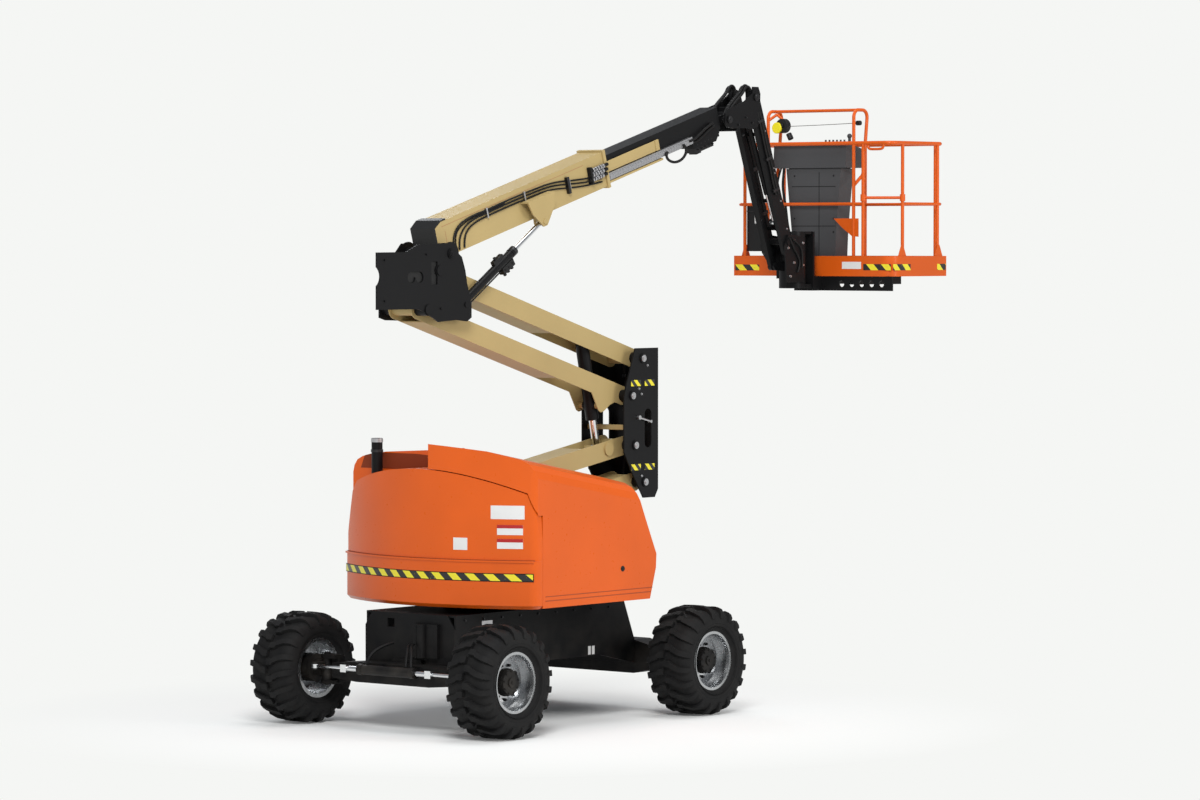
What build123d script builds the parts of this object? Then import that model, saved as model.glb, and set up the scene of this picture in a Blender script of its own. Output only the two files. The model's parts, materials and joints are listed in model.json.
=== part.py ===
"""Articulating boom lift, built as its own welded, pinned and bolted sub-parts.

Millimetres.  +X is the way the boom points, +Y is to the left of that, +Z is up.
The origin is on the ground under the swing axis.
"""
from build123d import *
from math import atan2, cos, degrees, hypot, radians, sin, sqrt
import os

# ------------------------------------------------------------------ driving sizes
# running gear
WHEELBASE = 2328
TYRE_RADIUS = 417
TYRE_WIDTH = 400
OVERALL_WIDTH = 2340
RIM_SEAT_RADIUS = 206
RIM_FLANGE_RADIUS = 225
FIT = 0.3                    # running clearance at pins, seats and eyes
SEAM = 8                     # clearance between body panels
KINGPIN_INSET = 250          # kingpin inboard of the tyre's middle
STEER_ARM = 136
STEER_CYLINDER_Z = 445
AXLE_WIDTH = 160
FRAME_HALF_WIDTH = 440
FRAME_FRONT_X = -1050
FRAME_TOP = 860
FRAME_BOTTOM = 460
FRAME_PLATE = 14
BEARING_RADIUS = 430
wheel_y = OVERALL_WIDTH / 2 - TYRE_WIDTH / 2
kingpin_y = wheel_y - KINGPIN_INSET

# turntable
DECK_TOP = 941
DECK_PLATE = 30
TAIL_CORNER_X = -700
TAIL_HALF_WIDTH = 945
TAIL_BULGE = 285             # how far the tail arc stands out behind its corners
BAND_TOP = 1265
TAIL_TOP = 1930
TAIL_DROP = 200              # fall of the tail's arched top from middle to corner
TAIL_CORNER_RADIUS = 95
TAIL_DEPTH_X = -640
HOOD_ARM_GAP = 13            # between the hoods' inner edges and the arms
HOOD_SKIN = 12
HOOD_RIDGE = 1940            # top of the hood at its inner edge, over the swing axis
HOOD_FALL = 0.18             # the hood drops this much for each unit forwards
HOOD_HINGE_Z = 2060
EXHAUST_RADIUS = 42
EXHAUST_TOP = 2131

# tower: two parallel-link stages and the two uprights that they carry
ARM_HALF_WIDTH = 115
BOOM_HALF_WIDTH = 115
HOOD_INNER_Y = max(ARM_HALF_WIDTH, BOOM_HALF_WIDTH) + HOOD_ARM_GAP
ARM_DEPTH = 146
ARM_WALL = 8
PIN_RADIUS = 30
BOSS_RADIUS = 46
UPRIGHT_PLATE = 12
LOWER_ANGLE = 9.5
LOWER_LENGTH = 1930
UPPER_ANGLE = 16.2
UPPER_LENGTH = 2495
PIN_LOWER_BOOM = (1354, 2031)    # on the centre upright
PIN_LOWER_LINK = (1473, 1741)
PIN_UPPER_BOOM = (1316, 2417)
PIN_UPPER_LINK = (1446, 2705)
SIDE_CYLINDER_RADIUS = 37
# the side cylinders lie between the arms and the uprights' plates
SIDE_CYLINDER_Y = max(ARM_HALF_WIDTH, BOOM_HALF_WIDTH) + SIDE_CYLINDER_RADIUS + 8
UPRIGHT_HALF_WIDTH = SIDE_CYLINDER_Y + SIDE_CYLINDER_RADIUS + 6 + UPRIGHT_PLATE
SIDE_ROD_RADIUS = 20
EYE_RADIUS = 36
EYE_HALF_WIDTH = 22
TOWER_CYLINDER_RADIUS = 52       # the tower's own cylinder runs down the middle of both arms
TOWER_ROD_RADIUS = 30
TOWER_BARREL_TOP = 490           # barrel above its trunnion
TOWER_EYE = (-215, 10)           # along and square to the lower boom, from its front pin
TOWER_TRUNNION = (-220, -140)    # along and square to the upper boom, from its front pin

# main boom
BOOM_ANGLE = 16.0
BOOM_PIVOT = (-824, 3525)
BOOM_TOP_T = 228                 # top and bottom faces, measured square to the boom
BOOM_BOTTOM_T = -44
BOOM_WALL = 8
BOOM_REAR_S = -14
BOOM_CROWN = (72, 32)            # chamfer of the rear upper corner, along and down
BOOM_FRONT_S = 2020
FLY_HALF_WIDTH = 84
FLY_DEPTH = 180
FLY_WALL = 6
FLY_REAR_S = 120
FLY_FRONT_S = 3560
LIFT_BASE = (-651, 3145)
LIFT_EYE = (285, 3765)
LEVEL_BASE = (-700, 3425)
LEVEL_EYE = (-85, 3668)
LEVEL_RADIUS = 26
LIFT_PIN_RADIUS = 20
LEVEL_PIN_RADIUS = 16

# jib and its parallel link
HEAD_PIVOT = (2660, 4585)
JIB_PIVOT = (3010, 4770)
JIB_LENGTH = 1240
JIB_ANGLE = -69.4
JIB_SPACING = 200
JIB_TAIL = 55                    # the beams run on past the foot's pivot
JIB_BEAM_DEPTH = 130
JIB_BEAM_Y = (76, 108)
JIB_CYLINDER_Y = -30
JIB_CYLINDER_DROP = 130
JIB_EYE_BACK = 170
JIB_EYE_SQUARE = -15
ROTATOR_OFFSET = 216
ROTATOR_RADIUS = 108

# platform
PLATFORM_NEAR_X = 3934
PLATFORM_DEPTH = 760
PLATFORM_HALF_LENGTH = 809
PLATFORM_BOTTOM = 3328
RAIL_HEIGHT = 1101
MID_RAIL_HEIGHT = 590
TOE_HEIGHT = 165
TOE_PLATE = 5
RAIL_RADIUS = 16
CORNER_RADIUS = 110
ENTRY_POST_X = 150             # the entry's posts, from the near corner
ENTRY_POST_Y = 500
HOOP_Y = (-405, 470)
HOOP_HEIGHT = 1357
HOOP_REACH = 190

# ------------------------------------------------------------------ helpers


def rail(angle):
    """Unit vector in the XZ plane at an angle above +X."""
    return (cos(radians(angle)), sin(radians(angle)))


def step(point, angle, along, square=0):
    """The point that lies along an inclined line from a point, and square to it."""
    u = rail(angle)
    return (point[0] + along * u[0] - square * u[1], point[1] + along * u[1] + square * u[0])


def plate(points, y0, y1):
    """Prism of an XZ outline between two Y planes."""
    outline = Polyline(*[(x, y0, z) for x, z in points], close=True)
    return extrude(make_face(outline), amount=y1 - y0, dir=(0, 1, 0))


def plan(points, z0, z1):
    """Prism of an XY outline between two heights."""
    outline = Polyline(*[(x, y, z0) for x, y in points], close=True)
    return extrude(make_face(outline), amount=z1 - z0, dir=(0, 0, 1))


def section(points, x0, x1):
    """Prism of a YZ outline between two X planes."""
    outline = Polyline(*[(x0, y, z) for y, z in points], close=True)
    return extrude(make_face(outline), amount=x1 - x0, dir=(1, 0, 0))


def block(x0, x1, y0, y1, z0, z1):
    return Pos((x0 + x1) / 2, (y0 + y1) / 2, (z0 + z1) / 2) * Box(x1 - x0, y1 - y0, z1 - z0)


def bar(start, end, radius):
    """Round bar between two points."""
    reach = Vector(*end) - Vector(*start)
    seat = Plane(origin=start, z_dir=reach)
    return seat * Cylinder(radius, reach.length, align=(Align.CENTER, Align.CENTER, Align.MIN))


def pin(point, radius, y0, y1):
    """Round bar across the machine at an XZ point."""
    return bar((point[0], y0, point[1]), (point[0], y1, point[1]), radius)


def both_sides(shape):
    """A shape and its mirror image across the machine's middle plane."""
    return shape + mirror(shape, about=Plane.XZ)


def beam(start, angle, s0, s1, t0, t1, y0, y1):
    """Straight block along an inclined line through start."""
    corners = [step(start, angle, s, t) for s, t in ((s0, t0), (s1, t0), (s1, t1), (s0, t1))]
    return plate(corners, y0, y1)


def box_arm(near, far, angle, length):
    """Welded box arm: two cheeks, two flanges, a bored boss at each end."""
    half = ARM_DEPTH / 2
    inner = ARM_HALF_WIDTH - ARM_WALL
    stop = BOSS_RADIUS + 40
    cheek = beam(near, angle, 0, length, -half, half, inner, ARM_HALF_WIDTH)
    for centre in (near, far):
        cheek += pin(centre, half, inner, ARM_HALF_WIDTH)
    arm = both_sides(cheek)
    for t in (-half, half - ARM_WALL):
        arm += beam(near, angle, stop, length - stop, t, t + ARM_WALL, -inner, inner)
    for centre in (near, far):
        arm += pin(centre, BOSS_RADIUS, -inner, inner)
        arm -= pin(centre, PIN_RADIUS + FIT, -UPRIGHT_HALF_WIDTH, UPRIGHT_HALF_WIDTH)
    return arm


def carried_pins(points, half_width, collar_from):
    """Pins across two plates, with the collars that keep an arm central on them."""
    pins = pin(points[0], PIN_RADIUS, -half_width, half_width)
    for point in points[1:]:
        pins += pin(point, PIN_RADIUS, -half_width, half_width)
    for point in points:
        collar = pin(point, BOSS_RADIUS, collar_from, half_width)
        pins += both_sides(collar)
        pins += both_sides(pin(point, BOSS_RADIUS - 8, half_width, half_width + 10))
    return pins


def cylinder_barrel(base, tip, y, radius, reach, pin_radius):
    """Hydraulic barrel with a bored eye at its base; the bore runs out of its gland."""
    angle = degrees(atan2(tip[1] - base[1], tip[0] - base[0]))
    head = EYE_RADIUS + SEAM
    start = step(base, angle, head)
    end = step(base, angle, reach)
    barrel = bar((start[0], y, start[1]), (end[0], y, end[1]), radius)
    barrel += beam(base, angle, 0, head + 5, -20, 20, y - EYE_HALF_WIDTH, y + EYE_HALF_WIDTH)
    gland = step(base, angle, reach - 55)
    barrel += bar((gland[0], y, gland[1]), (end[0], y, end[1]), radius + 3)
    barrel += pin(base, EYE_RADIUS, y - EYE_HALF_WIDTH, y + EYE_HALF_WIDTH)
    inside = step(base, angle, head + 40)
    beyond = step(base, angle, reach + 10)
    barrel -= bar((inside[0], y, inside[1]), (beyond[0], y, beyond[1]), SIDE_ROD_RADIUS + FIT)
    return barrel - pin(base, pin_radius + FIT, y - 60, y + 60)


def cylinder_rod(base, tip, y, reach, overlap):
    """Chromed rod from well inside the barrel to a plain eye."""
    angle = degrees(atan2(tip[1] - base[1], tip[0] - base[0]))
    start = step(base, angle, reach - overlap)
    neck = step(tip, angle, -EYE_RADIUS * 0.7)
    rod = bar((start[0], y, start[1]), (neck[0], y, neck[1]), SIDE_ROD_RADIUS)
    return rod + pin(tip, EYE_RADIUS, y - EYE_HALF_WIDTH, y + EYE_HALF_WIDTH)


def tube(points, radius, bend):
    """Bent tube along a route with one bend radius."""
    path = FilletPolyline(*points, radius=bend)
    start = Plane(origin=path @ 0, z_dir=path % 0)
    return sweep(start * Circle(radius), path=path)


# ------------------------------------------------------------------ derived places
axle_x = WHEELBASE / 2
link_offset_low = (PIN_LOWER_LINK[0] - PIN_LOWER_BOOM[0], PIN_LOWER_LINK[1] - PIN_LOWER_BOOM[1])
link_offset_up = (PIN_UPPER_LINK[0] - PIN_UPPER_BOOM[0], PIN_UPPER_LINK[1] - PIN_UPPER_BOOM[1])
deck_boom = step(PIN_LOWER_BOOM, LOWER_ANGLE, -LOWER_LENGTH)
deck_link = (deck_boom[0] + link_offset_low[0], deck_boom[1] + link_offset_low[1])
head_boom = step(PIN_UPPER_BOOM, -UPPER_ANGLE, -UPPER_LENGTH)
head_link = (head_boom[0] + link_offset_up[0], head_boom[1] + link_offset_up[1])
jib_foot_pin = step(JIB_PIVOT, JIB_ANGLE, JIB_LENGTH)
jib_link_top = (JIB_PIVOT[0] - 8, JIB_PIVOT[1] - JIB_SPACING)
jib_link_foot = (jib_foot_pin[0] - 8, jib_foot_pin[1] - JIB_SPACING)
jib_cylinder_pin = (JIB_PIVOT[0] - 8, JIB_PIVOT[1] - JIB_CYLINDER_DROP)
jib_eye = step(JIB_PIVOT, JIB_ANGLE, JIB_LENGTH - JIB_EYE_BACK, JIB_EYE_SQUARE)
jib_cylinder_angle = degrees(atan2(jib_eye[1] - jib_cylinder_pin[1], jib_eye[0] - jib_cylinder_pin[0]))
rotator_x = jib_foot_pin[0] + ROTATOR_OFFSET
fly_middle_t = (BOOM_TOP_T + BOOM_BOTTOM_T) / 2
# tower cylinder: rod eye inside the lower boom, trunnion below the upper boom
tower_eye = step(PIN_LOWER_BOOM, LOWER_ANGLE, *TOWER_EYE)
tower_trunnion = step(PIN_UPPER_BOOM, -UPPER_ANGLE, *TOWER_TRUNNION)
platform_far_x = PLATFORM_NEAR_X + PLATFORM_DEPTH
rail_z = PLATFORM_BOTTOM + RAIL_HEIGHT - RAIL_RADIUS
mid_z = PLATFORM_BOTTOM + MID_RAIL_HEIGHT
tail_radius = (TAIL_HALF_WIDTH ** 2 + TAIL_BULGE ** 2) / (2 * TAIL_BULGE)
arch_radius = (TAIL_HALF_WIDTH ** 2 + TAIL_DROP ** 2) / (2 * TAIL_DROP)

# ------------------------------------------------------------------ running gear


def tyre():
    """Tyre as a closed ring, axis along Y, outer side at +Y."""
    half = TYRE_WIDTH / 2
    # radius, distance from the middle plane: bead, sidewall bulge, shoulder, crown
    side = [(RIM_SEAT_RADIUS + FIT, half - 52), (RIM_FLANGE_RADIUS + 4, half - 52)]
    side += [(RIM_FLANGE_RADIUS + 55, half - 12), (TYRE_RADIUS - 62, half)]
    side += [(TYRE_RADIUS - 22, half - 14), (TYRE_RADIUS, half - 70)]
    ring = side + [(r, -w) for r, w in reversed(side)]
    outline = Polyline(*[(r, w, 0) for r, w in ring], close=True)
    return revolve(make_face(outline), axis=Axis.Y)


def rim():
    """Wheel: flanged barrel, dished disc and hub, outer side at +Y."""
    half = TYRE_WIDTH / 2
    lip = half - 42
    seat = half - 52 + FIT
    barrel = RIM_SEAT_RADIUS - 9
    # radius, distance along the axis
    profile = [(RIM_FLANGE_RADIUS, lip), (RIM_FLANGE_RADIUS, seat), (RIM_SEAT_RADIUS, seat)]
    profile += [(RIM_SEAT_RADIUS, -seat), (RIM_FLANGE_RADIUS, -seat), (RIM_FLANGE_RADIUS, -lip)]
    profile += [(barrel, -lip), (barrel, 26), (110, 40), (62, 40), (62, 112), (78, 112)]
    profile += [(92, 96), (92, 56), (118, 52), (barrel, 40), (barrel, lip - 26), (barrel + 8, lip)]
    outline = Polyline(*[(r, w, 0) for r, w in profile], close=True)
    wheel = revolve(make_face(outline), axis=Axis.Y)
    cap = Rot(90, 0, 0) * Pos(0, 0, -104) * Cylinder(62, 12)
    return wheel + cap


def placed_wheel(shape, end, side):
    """Put a wheel piece on an axle end; the outer side faces away from the machine."""
    turned = shape if side > 0 else Rot(0, 0, 180) * shape
    return Pos(end * axle_x, side * wheel_y, TYRE_RADIUS) * turned


def chassis_frame():
    """Open-bottomed box frame that slopes down to the drive axle."""
    rear = axle_x - 100
    outline = [(FRAME_FRONT_X, FRAME_BOTTOM), (FRAME_FRONT_X, FRAME_TOP), (rear - 130, FRAME_TOP)]
    outline += [(rear - 6, 565), (rear, 565), (rear, FRAME_BOTTOM - 90), (rear - 420, FRAME_BOTTOM)]
    frame = plate(outline, -FRAME_HALF_WIDTH, FRAME_HALF_WIDTH)
    t = FRAME_PLATE
    room = [(FRAME_FRONT_X + t, 300), (FRAME_FRONT_X + t, FRAME_TOP - t), (rear - 138, FRAME_TOP - t)]
    room += [(rear - 20, 568), (rear - t, 300)]
    frame -= plate(room, -FRAME_HALF_WIDTH + t, FRAME_HALF_WIDTH - t)
    # cut corners of the end plate, its square hole and a lightening hole
    corner = section([(FRAME_HALF_WIDTH + 1, FRAME_TOP - 105), (FRAME_HALF_WIDTH + 1, FRAME_TOP + 1),
                      (FRAME_HALF_WIDTH - 70, FRAME_TOP + 1)], FRAME_FRONT_X - 1, FRAME_FRONT_X + t)
    frame -= both_sides(corner)
    frame -= block(FRAME_FRONT_X - 1, FRAME_FRONT_X + t + 1, 150, 220, 750, 815)
    # cross wall under the swing bearing
    frame += block(-20, 0, -FRAME_HALF_WIDTH + t, FRAME_HALF_WIDTH - t, 520, FRAME_TOP - t)
    # bolted valve cover with a rounded nose
    cover = block(FRAME_FRONT_X - 34, FRAME_FRONT_X, -300, -60, 540, 790)
    cover += bar((FRAME_FRONT_X - 34, -150, 540), (FRAME_FRONT_X - 34, -150, 790), 42)
    frame += cover
    # steer axle carrier
    frame += block(-axle_x + AXLE_WIDTH / 2, FRAME_FRONT_X, -140, 140, 395, 520)
    return frame


def swing_bearing():
    """Bearing ring between frame and deck."""
    ring = Cylinder(BEARING_RADIUS, DECK_TOP - DECK_PLATE - FRAME_TOP)
    ring -= Cylinder(BEARING_RADIUS - 70, 200)
    return Pos(0, 0, (FRAME_TOP + DECK_TOP - DECK_PLATE) / 2) * ring


def steer_axle():
    """Beam that tapers to a forked end round each kingpin."""
    half = AXLE_WIDTH / 2
    mid = TYRE_RADIUS
    tip = kingpin_y - 120
    side = section([(0, mid - 75), (tip - 240, mid - 75), (tip, mid - 55), (tip, mid + 55),
                    (tip - 240, mid + 75), (0, mid + 75)], -axle_x - half, -axle_x + half)
    side += block(-axle_x - 10, -axle_x + 50, tip - 10, tip + 68, mid - 100, mid + 100)
    for z0, z1 in ((mid - 110, mid - 82), (mid + 82, mid + 110)):
        side += block(-axle_x - 50, -axle_x + 50, tip, kingpin_y, z0, z1)
        side += bar((-axle_x, kingpin_y, z0), (-axle_x, kingpin_y, z1), 50)
    side += bar((-axle_x, kingpin_y, mid - 122), (-axle_x, kingpin_y, mid + 122), 24)
    return both_sides(side)


def steer_cylinder():
    """Double-ended barrel on two saddles in front of the axle."""
    x = -axle_x - STEER_ARM
    z = STEER_CYLINDER_Z
    barrel = bar((x, -275, z), (x, 275, z), 38)
    barrel += both_sides(bar((x, 235, z), (x, 275, z), 42))
    barrel += both_sides(block(x, -axle_x - AXLE_WIDTH / 2, 120, 160, z - 34, z + 30))
    return barrel - bar((x, -280, z), (x, 280, z), SIDE_ROD_RADIUS + FIT)


def steer_rod():
    """Through rod with a clevis block, tie link and eye on each side."""
    x = -axle_x - STEER_ARM
    z = STEER_CYLINDER_Z
    block_y = kingpin_y - 332
    rod = bar((x, -block_y - 12, z), (x, block_y + 12, z), SIDE_ROD_RADIUS)
    end = block(x - 26, x + 26, block_y, block_y + 58, z - 28, z + 28)
    end += bar((x, block_y + 52, z), (x, kingpin_y - 20, z), 14)
    end += bar((x, kingpin_y, z - 15), (x, kingpin_y, z + 15), 28)
    return rod + both_sides(end)


def knuckle(side):
    """Kingpin boss, hub spindle and forked steering arm."""
    mid = TYRE_RADIUS
    y = kingpin_y
    inner_face = wheel_y + 40 - FIT
    body = bar((-axle_x, y, mid - 81), (-axle_x, y, mid + 81), 44)
    body += bar((-axle_x, y + 20, mid), (-axle_x, y + 110, mid), 62)
    body += bar((-axle_x, y + 100, mid), (-axle_x, inner_face, mid), 105)
    body -= bar((-axle_x, y, mid - 90), (-axle_x, y, mid + 90), 24 + FIT)
    x = -axle_x - STEER_ARM
    z = STEER_CYLINDER_Z
    for z0, z1 in ((z - 29, z - 15 - FIT), (z + 15 + FIT, z + 29)):
        blade = block(x, -axle_x - 36, y - 24, y + 24, z0, z1)
        blade += bar((x, y, z0), (x, y, z1), 26)
        body += blade
    body += block(-axle_x - 60, -axle_x - 36, y - 24, y + 24, z - 29, z + 29)
    return body if side > 0 else mirror(body, about=Plane.XZ)


def drive_axle():
    """Fixed box axle with a round motor housing in each wheel."""
    mid = TYRE_RADIUS
    inner_face = wheel_y + 40 - FIT
    tip = wheel_y - 330
    side = section([(0, mid - 127), (tip - 210, mid - 127), (tip, mid - 85), (tip, mid + 85),
                    (tip - 210, mid + 133), (0, mid + 133)], axle_x - 100, axle_x + 100)
    side += bar((axle_x, tip - 10, mid), (axle_x, tip + 60, mid), 95)
    side += bar((axle_x, tip + 50, mid), (axle_x, tip + 105, mid), 130)
    side += bar((axle_x, tip + 100, mid), (axle_x, inner_face, mid), 108)
    return both_sides(side)


# ------------------------------------------------------------------ turntable


def tail_outline(proud, front_x):
    """Plan outline: the arc of the tail closed by a straight edge at front_x."""
    corner = (TAIL_CORNER_X - proud, TAIL_HALF_WIDTH)
    arc = ThreePointArc((corner[0], -corner[1]), (TAIL_CORNER_X - TAIL_BULGE - proud, 0), corner)
    rest = Polyline(corner, (front_x, corner[1]), (front_x, -corner[1]), (corner[0], -corner[1]))
    face = make_face(arc + rest)
    corners = face.vertices().filter_by(lambda v: abs(v.X - corner[0]) < 1)
    return fillet(corners, TAIL_CORNER_RADIUS)


def tail_prism(proud, front_x, z0, z1):
    return Pos(0, 0, z0) * extrude(tail_outline(proud, front_x), amount=z1 - z0)


def arch_prism(raise_by, x0, x1):
    """Everything under the tail's arched top and tapered sides, raised by a clearance."""
    z = TAIL_TOP + raise_by
    half_width = TAIL_HALF_WIDTH + raise_by
    near = (-0.93 * half_width, z - 0.86 * TAIL_DROP)
    far = (0.78 * half_width, z - 0.6 * TAIL_DROP)
    arc = ThreePointArc((x0, *near), (x0, 0, z), (x0, *far))
    sides = [far, (0.86 * half_width, z - TAIL_DROP), (0.9 * half_width, z - 1.6 * TAIL_DROP)]
    sides += [(half_width + 12, BAND_TOP), (half_width + 12, 850), (-half_width - 12, 850)]
    sides += [(-half_width - 12, BAND_TOP), (-0.985 * half_width, z - 1.6 * TAIL_DROP), near]
    rest = Polyline(*[(x0, y, h) for y, h in sides])
    return extrude(make_face(arc + rest), amount=x1 - x0, dir=(1, 0, 0))


def hood_hinge_bracket(side):
    """Arm on the tail with the fixed knuckle and pin of a hood's hinge."""
    y0, y1 = sorted((side * 62, side * (HOOD_INNER_Y - 10)))
    arm = block(-705, -617, y0, y1, TAIL_TOP - 30, HOOD_HINGE_Z + 10)
    axis_y = side * HOOD_INNER_Y
    arm += bar((-645, axis_y, HOOD_HINGE_Z), (-615, axis_y, HOOD_HINGE_Z), 14)
    return arm + bar((-648, axis_y, HOOD_HINGE_Z), (-576, axis_y, HOOD_HINGE_Z), 6)


def counterweight():
    """Cast band round the foot of the tail, chamfered at its lower edge."""
    band = tail_prism(12, TAIL_DEPTH_X, DECK_TOP - DECK_PLATE, BAND_TOP)
    return chamfer(band.edges().group_by(Axis.Z)[0].sort_by(Axis.X)[0], 26)


def tail_cover():
    """Arched tail above the band, with the fixed halves of the hood hinges."""
    body = tail_prism(0, TAIL_DEPTH_X, BAND_TOP + FIT, TAIL_TOP + 40)
    body &= arch_prism(0, TAIL_CORNER_X - TAIL_BULGE - 40, TAIL_DEPTH_X + 10)
    body -= bar((-695, 640, 1499), (-695, 640, TAIL_TOP + 50), EXHAUST_RADIUS + FIT)
    return body + hood_hinge_bracket(1) + hood_hinge_bracket(-1)


def hood_solid(inset, side_y, rim_back):
    """Body of a hood, all outer faces moved inwards by inset."""
    back = TAIL_DEPTH_X + SEAM + inset
    roof = TAIL_TOP + 300
    # side view: bottom, raked front; the roof is cut by the sloping end view
    side = [(back, DECK_TOP - DECK_PLATE + 4), (630 - inset, DECK_TOP - DECK_PLATE + 4)]
    side += [(702 - inset, 1148), (708 - inset, 1252), (604 - inset, 1467), (546 - inset, 1589)]
    side += [(490 - inset, 1712), (450 - inset, 1790), (440 - inset, roof), (rim_back, roof),
             (rim_back, 1270)]
    if back > rim_back + 1:
        side += [(back, 1270)]
    body = plate(side, -side_y, -HOOD_INNER_Y)
    # end view over the swing axis: upright side, rounded shoulder, nearly level top
    y = TAIL_HALF_WIDTH - 5 - inset
    end = [(-HOOD_INNER_Y + 1, 300), (-y, 300), (-y, 1752 - inset / 2), (-y + 14, 1806 - inset)]
    end += [(-y + 44, 1848 - inset), (-y + 100, 1876 - inset), (-y + 330, 1914 - inset)]
    end += [(-HOOD_INNER_Y + 1, HOOD_RIDGE - inset)]
    x0 = rim_back - 40
    outline = Polyline(*[(x0, q, z - HOOD_FALL * x0) for q, z in end], close=True)
    reach = 760 - x0
    slope = (reach, 0, -HOOD_FALL * reach)
    return body & extrude(make_face(outline), amount=hypot(reach, HOOD_FALL * reach), dir=slope)


def hood(side, over_tail):
    """Hinged engine-bay hood: an open shell, with or without the lip over the tail."""
    rim_back = TAIL_CORNER_X - TAIL_BULGE - 2 if over_tail else TAIL_DEPTH_X + SEAM
    shell = hood_solid(0, TAIL_HALF_WIDTH, rim_back)
    # the lip over the tail is solid, the bay in front of it is open
    room = hood_solid(HOOD_SKIN, TAIL_HALF_WIDTH - HOOD_SKIN, TAIL_DEPTH_X + SEAM + HOOD_SKIN)
    floor_cut = block(TAIL_DEPTH_X, 585, -TAIL_HALF_WIDTH + 24, -HOOD_INNER_Y + 4, 900, DECK_TOP + SEAM)
    shell -= room
    shell -= floor_cut
    shell -= block(TAIL_DEPTH_X + SEAM + HOOD_SKIN, 0, -HOOD_INNER_Y - 4, -HOOD_INNER_Y + 4, 900, 1960)
    if over_tail:
        shell &= tail_prism(6, 720, 880, 2300)
        clear = arch_prism(SEAM, TAIL_CORNER_X - TAIL_BULGE - 60, TAIL_DEPTH_X + SEAM)
        shell -= clear
    # the moving knuckle, let into the inner edge
    z = HOOD_HINGE_Z
    shell -= block(-660, -572, -HOOD_INNER_Y - 22, -HOOD_INNER_Y + 30, z - 22, z + 60)
    knuckle_body = bar((-610, -HOOD_INNER_Y, z), (-580, -HOOD_INNER_Y, z), 14)
    knuckle_body += block(-608, -582, -HOOD_INNER_Y - 50, -HOOD_INNER_Y, z - 34, z - 6)
    shell += knuckle_body - bar((-660, -HOOD_INNER_Y, z), (-570, -HOOD_INNER_Y, z), 6 + FIT)
    return shell if side < 0 else mirror(shell, about=Plane.XZ)


def turntable_frame():
    """Deck plate with the two tower cheeks that carry the lower stage's pins."""
    deck_z = DECK_TOP - DECK_PLATE
    nose = HOOD_INNER_Y - SEAM
    deck = plan([(TAIL_DEPTH_X + FIT, -900), (560, -900), (560, -nose), (700, -nose), (700, nose),
                 (560, nose), (560, 900), (TAIL_DEPTH_X + FIT, 900)], deck_z, DECK_TOP)
    outer = UPRIGHT_HALF_WIDTH
    x, z = deck_boom
    cheek_points = [(-600, DECK_TOP), (x - 60, z - 60), (x - 60, z + 30), (x - 30, z + 78)]
    cheek_points += [(x + 40, z + 78), (x + 95, z + 20), (deck_link[0] + 110, deck_link[1]),
                     (150, DECK_TOP + 120), (280, DECK_TOP)]
    cheek = plate(cheek_points, outer - UPRIGHT_PLATE, outer)
    cheek -= pin((-330, 1180), 90, outer - 20, outer + 10)
    frame = deck + both_sides(cheek)
    frame += carried_pins([deck_boom, deck_link], outer, ARM_HALF_WIDTH + FIT)
    frame += plate([(-600, DECK_TOP), (-560, DECK_TOP), (-600, 1400), (-616, 1400)], -outer, outer)
    return frame


def engine_block():
    return block(-430, 330, 300, 780, DECK_TOP, 1480)


def hydraulic_tank():
    tank = block(-380, 300, -800, -420, DECK_TOP, 1420)
    return tank


def exhaust_stack():
    """Short upright pipe let into the far side of the tail."""
    pipe = bar((-695, 640, 1500), (-695, 640, EXHAUST_TOP), EXHAUST_RADIUS)
    return pipe - bar((-695, 640, EXHAUST_TOP - 80), (-695, 640, EXHAUST_TOP + 5), EXHAUST_RADIUS - 5)


# ------------------------------------------------------------------ tower


def centre_upright():
    """Two tapered plates, a front web with a slot, and four pins."""
    outline = [(1354, 2785), (1637, 2785), (1637, 1682), (1596, 1618), (1455, 1618), (1310, 1827),
               (1216, 1981), (1216, 2408), (1247, 2510)]
    outer = UPRIGHT_HALF_WIDTH
    side = plate(outline, outer - UPRIGHT_PLATE, outer)
    slot = beam((1511, 2160), 90, -110, 110, -42, 42, outer - 20, outer + 5)
    slot += pin((1511, 2050), 42, outer - 20, outer + 5) + pin((1511, 2270), 42, outer - 20, outer + 5)
    side -= slot
    upright = both_sides(side)
    inner = outer - UPRIGHT_PLATE
    web = block(1606, 1620, -inner, inner, 1700, 2770)
    web -= block(1600, 1630, -60, 60, 1950, 2500)
    upright += web
    pins = [PIN_UPPER_LINK, PIN_UPPER_BOOM, PIN_LOWER_BOOM, PIN_LOWER_LINK]
    return upright + carried_pins(pins, outer, ARM_HALF_WIDTH + FIT)


def stub_pins(point, radius, inner_face):
    """A pin's two stubs, from an arm's cheeks to just off whatever lies between them."""
    return both_sides(pin(point, radius, inner_face, ARM_HALF_WIDTH - 2))


def opened(arm, point, angle, s0, s1, t0, t1):
    """An arm with its flanges cut away between the cheeks, where a cylinder passes."""
    inner = ARM_HALF_WIDTH - ARM_WALL
    return arm - beam(point, angle, s0, s1, t0, t1, -inner, inner)


def lower_boom():
    """Upper arm of the lower stage; the tower cylinder's rod eye lies between its cheeks."""
    arm = box_arm(deck_boom, PIN_LOWER_BOOM, LOWER_ANGLE, LOWER_LENGTH)
    arm = opened(arm, PIN_LOWER_BOOM, LOWER_ANGLE, -520, -60, 0, ARM_DEPTH)
    arm += stub_pins(tower_eye, 26, EYE_HALF_WIDTH + 8 + FIT)
    return arm + both_sides(pin(tower_eye, 52, ARM_HALF_WIDTH - 2, ARM_HALF_WIDTH + 16))


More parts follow.
